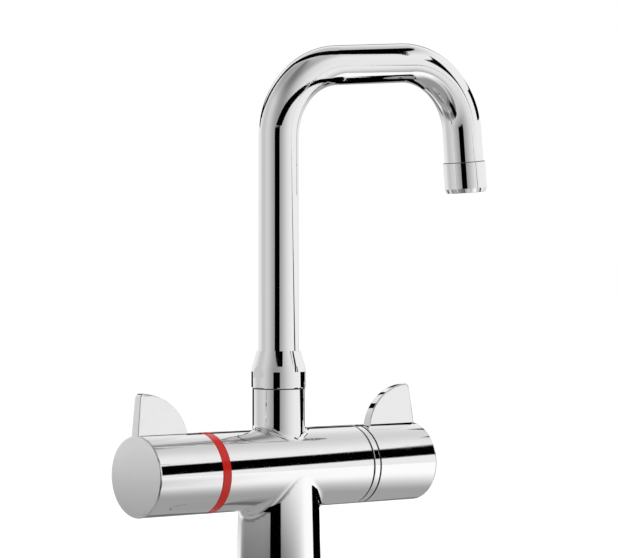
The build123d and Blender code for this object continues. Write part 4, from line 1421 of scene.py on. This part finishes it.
    def add_low_wall(self) -> None:
        """Stand the low backdrop that the pedestal and the lower barrel see.

        It dims towards the ground like the tent: by a smooth step of the
        angle below the horizon, seen from the barrel, which counts more
        towards the back. Its black parts end at the rows where the ground
        would hide them, and above and below the pedestal's view its tones
        even out.
        """
        at, tone = np.array(LOW_WALL).T
        turns = np.linspace(-180.0, 180.0, 721)
        level = np.array(LOW_WALL_ROWS)[:, None]
        back = np.clip((np.abs(turns) - 105.0) / 60.0, 0.0, 1.0)
        below = np.degrees(np.arctan((80.0 - level) / self.card_reach)) + 24.0 * back**2 * (3 - 2 * back)
        dim = np.clip((np.where(level < -20.0, below, 0.0) - 15.0) / 35.0, 0.0, 1.0)
        calm = np.interp(turns, (-176.0, -158.0, -42.0, -25.0), (1.0, 0.2, 0.2, 1.0))
        ground = 1 - self.tent.ground_shade * calm * dim**2 * (3 - 2 * dim)
        shades = np.interp(turns, at, tone) * ground
        even_turns, even_tones = (-136.0, -120.0, 5.0, 10.0, 40.0, 78.0), (0.64, 0.64, 0.64, 0.78, 0.90, 0.98)
        even = np.interp(turns, even_turns, even_tones) * ground
        share = np.interp(level, (-90.0, -45.0, 20.0, 82.0), (1.0, 0.0, 0.0, 1.0))
        shades = np.where(shades < 0.02, shades, shades + (even - shades) * share)
        near = np.abs(turns) < 30
        filled = np.where(near, even_tones[0], even_tones[-1]) * ground
        shades = np.where((shades < 0.3) & (level < np.where(near, -200.0, -45.0)), filled, shades)
        self.add_card("low_wall", self.ring_wall(turns, LOW_WALL_ROWS), shades)

    def add_deck_card(self) -> None:
        """Lay a pale ring on the deck round the foot."""
        around = np.radians(np.linspace(0.0, 360.0, 49))
        ring = np.stack([np.cos(around), np.sin(around), 0 * around], -1)
        self.add_card("deck_card", np.array(self.deck_rings)[:, None, None] * ring, self.deck_tone)

    def add_bow_flags(self, spout: Spout) -> None:
        """Hang the two black flags that give the bow its dark strips.

        At angle b round the tube the normal n is cos b * outward + sin b *
        sideways, and the strip's point is centre + radius * n. The ray d from
        the camera goes on along d - 2 (d . n) n, and the flag passes through
        the points at a fixed distance along these rays.

        Args:
            spout: The spout that they light.
        """
        points, ways = spout.centre_line()
        length = np.concatenate([[0.0], np.cumsum(np.linalg.norm(np.diff(points, axis=0), axis=1))])
        length -= spout.riser_top - spout.start
        up = np.cross(spout.sideways, ways)
        spread = np.linspace(-1.0, 1.0, 9)[:, None]
        strips = (("inner_flag", INNER_STRIP, 5.0, 128.0), ("outer_flag", OUTER_STRIP, 8.0, 104.0))
        for name, strip, first, last in strips:
            at, middle, half = np.array(strip).T
            stations = np.arange(first, last, 0.8)
            around = np.interp(stations, at, middle) + spread * np.interp(stations, at, half)
            swing = np.radians(around)[..., None]
            centre = np.stack([np.interp(stations, length, points[:, axis]) for axis in range(3)], 1)
            outward = unit(np.stack([np.interp(stations, length, up[:, axis]) for axis in range(3)], 1))
            normals = np.cos(swing) * outward + np.sin(swing) * spout.sideways
            surface = centre + spout.tube_radius * normals
            rays = unit(surface - self.eye)
            mirrored = rays - 2 * (rays * normals).sum(-1, keepdims=True) * normals
            self.add_card(name, surface + self.card_reach * mirrored, 0.0)

    def add_side_flags(self) -> None:
        """Stand a low and a high black flag behind the tap on either side."""
        for name, turns in (("left_flag", (-174.0, -137.0)), ("right_flag", (116.0, 146.0))):
            for label, heights in ((name, (97.0, 136.0)), (f"high_{name}", (315.0, 375.0))):
                self.add_card(label, self.ring_wall(np.linspace(*turns, 20), heights), 0.0)

    def add_lamps(self) -> None:
        """Hang the soft lamps: two high beside the camera and one overhead."""
        lamps = (
            ("key", -self.view * 900 - self.right * 900 + Z_AXIS * 1300, 1.1, 16.0),
            ("fill", -self.view * 700 + self.right * 1000 + Z_AXIS * 900, 1.2, 8.0),
            ("top", Z_AXIS * 1600 + self.view * 300, 1.5, 12.0),
        )
        for name, place, size, power in lamps:
            data = bpy.data.lights.new(name, "AREA")
            data.shape = "DISK"
            data.size = size
            data.energy = power
            lamp = add_object(name, data)
            lamp.location = (place * MM).tolist()
            aim = Vector([0.0, 0.0, self.lamp_aim * MM]) - lamp.location
            lamp.rotation_euler = aim.to_track_quat("-Z", "Y").to_euler()
            lamp.visible_glossy = False

    def build(self, spout: Spout) -> None:
        """Set up the whole studio.

        Args:
            spout: The spout that the flags are hung for.
        """
        bpy.context.scene.view_settings.view_transform = "Standard"
        self.add_camera()
        self.add_world()
        self.add_floor()
        self.add_low_wall()
        self.add_deck_card()
        self.add_bow_flags(spout)
        self.add_side_flags()
        self.add_lamps()


@dataclass
class Tap:
    """The whole mixer tap."""

    casting: Casting = field(default_factory=Casting)
    rings: EndRings = field(default_factory=EndRings)
    spout: Spout = field(default_factory=Spout)
    foot: Foot = field(default_factory=Foot)

    def build(self) -> None:
        """Build the sub-assemblies in order."""
        self.casting.build()
        self.rings.build()
        Handle("temperature_handle", -1, "temperature_control").build()
        Handle("flow_handle", 1, "flow_control").build()
        self.spout.build()
        self.foot.build()


def main() -> None:
    """Dress the frame, build the pieces and set the studio."""
    dress_cad_nodes()
    tap = Tap()
    tap.build()
    Studio().build(tap.spout)


if __name__ == "__main__":
    main()
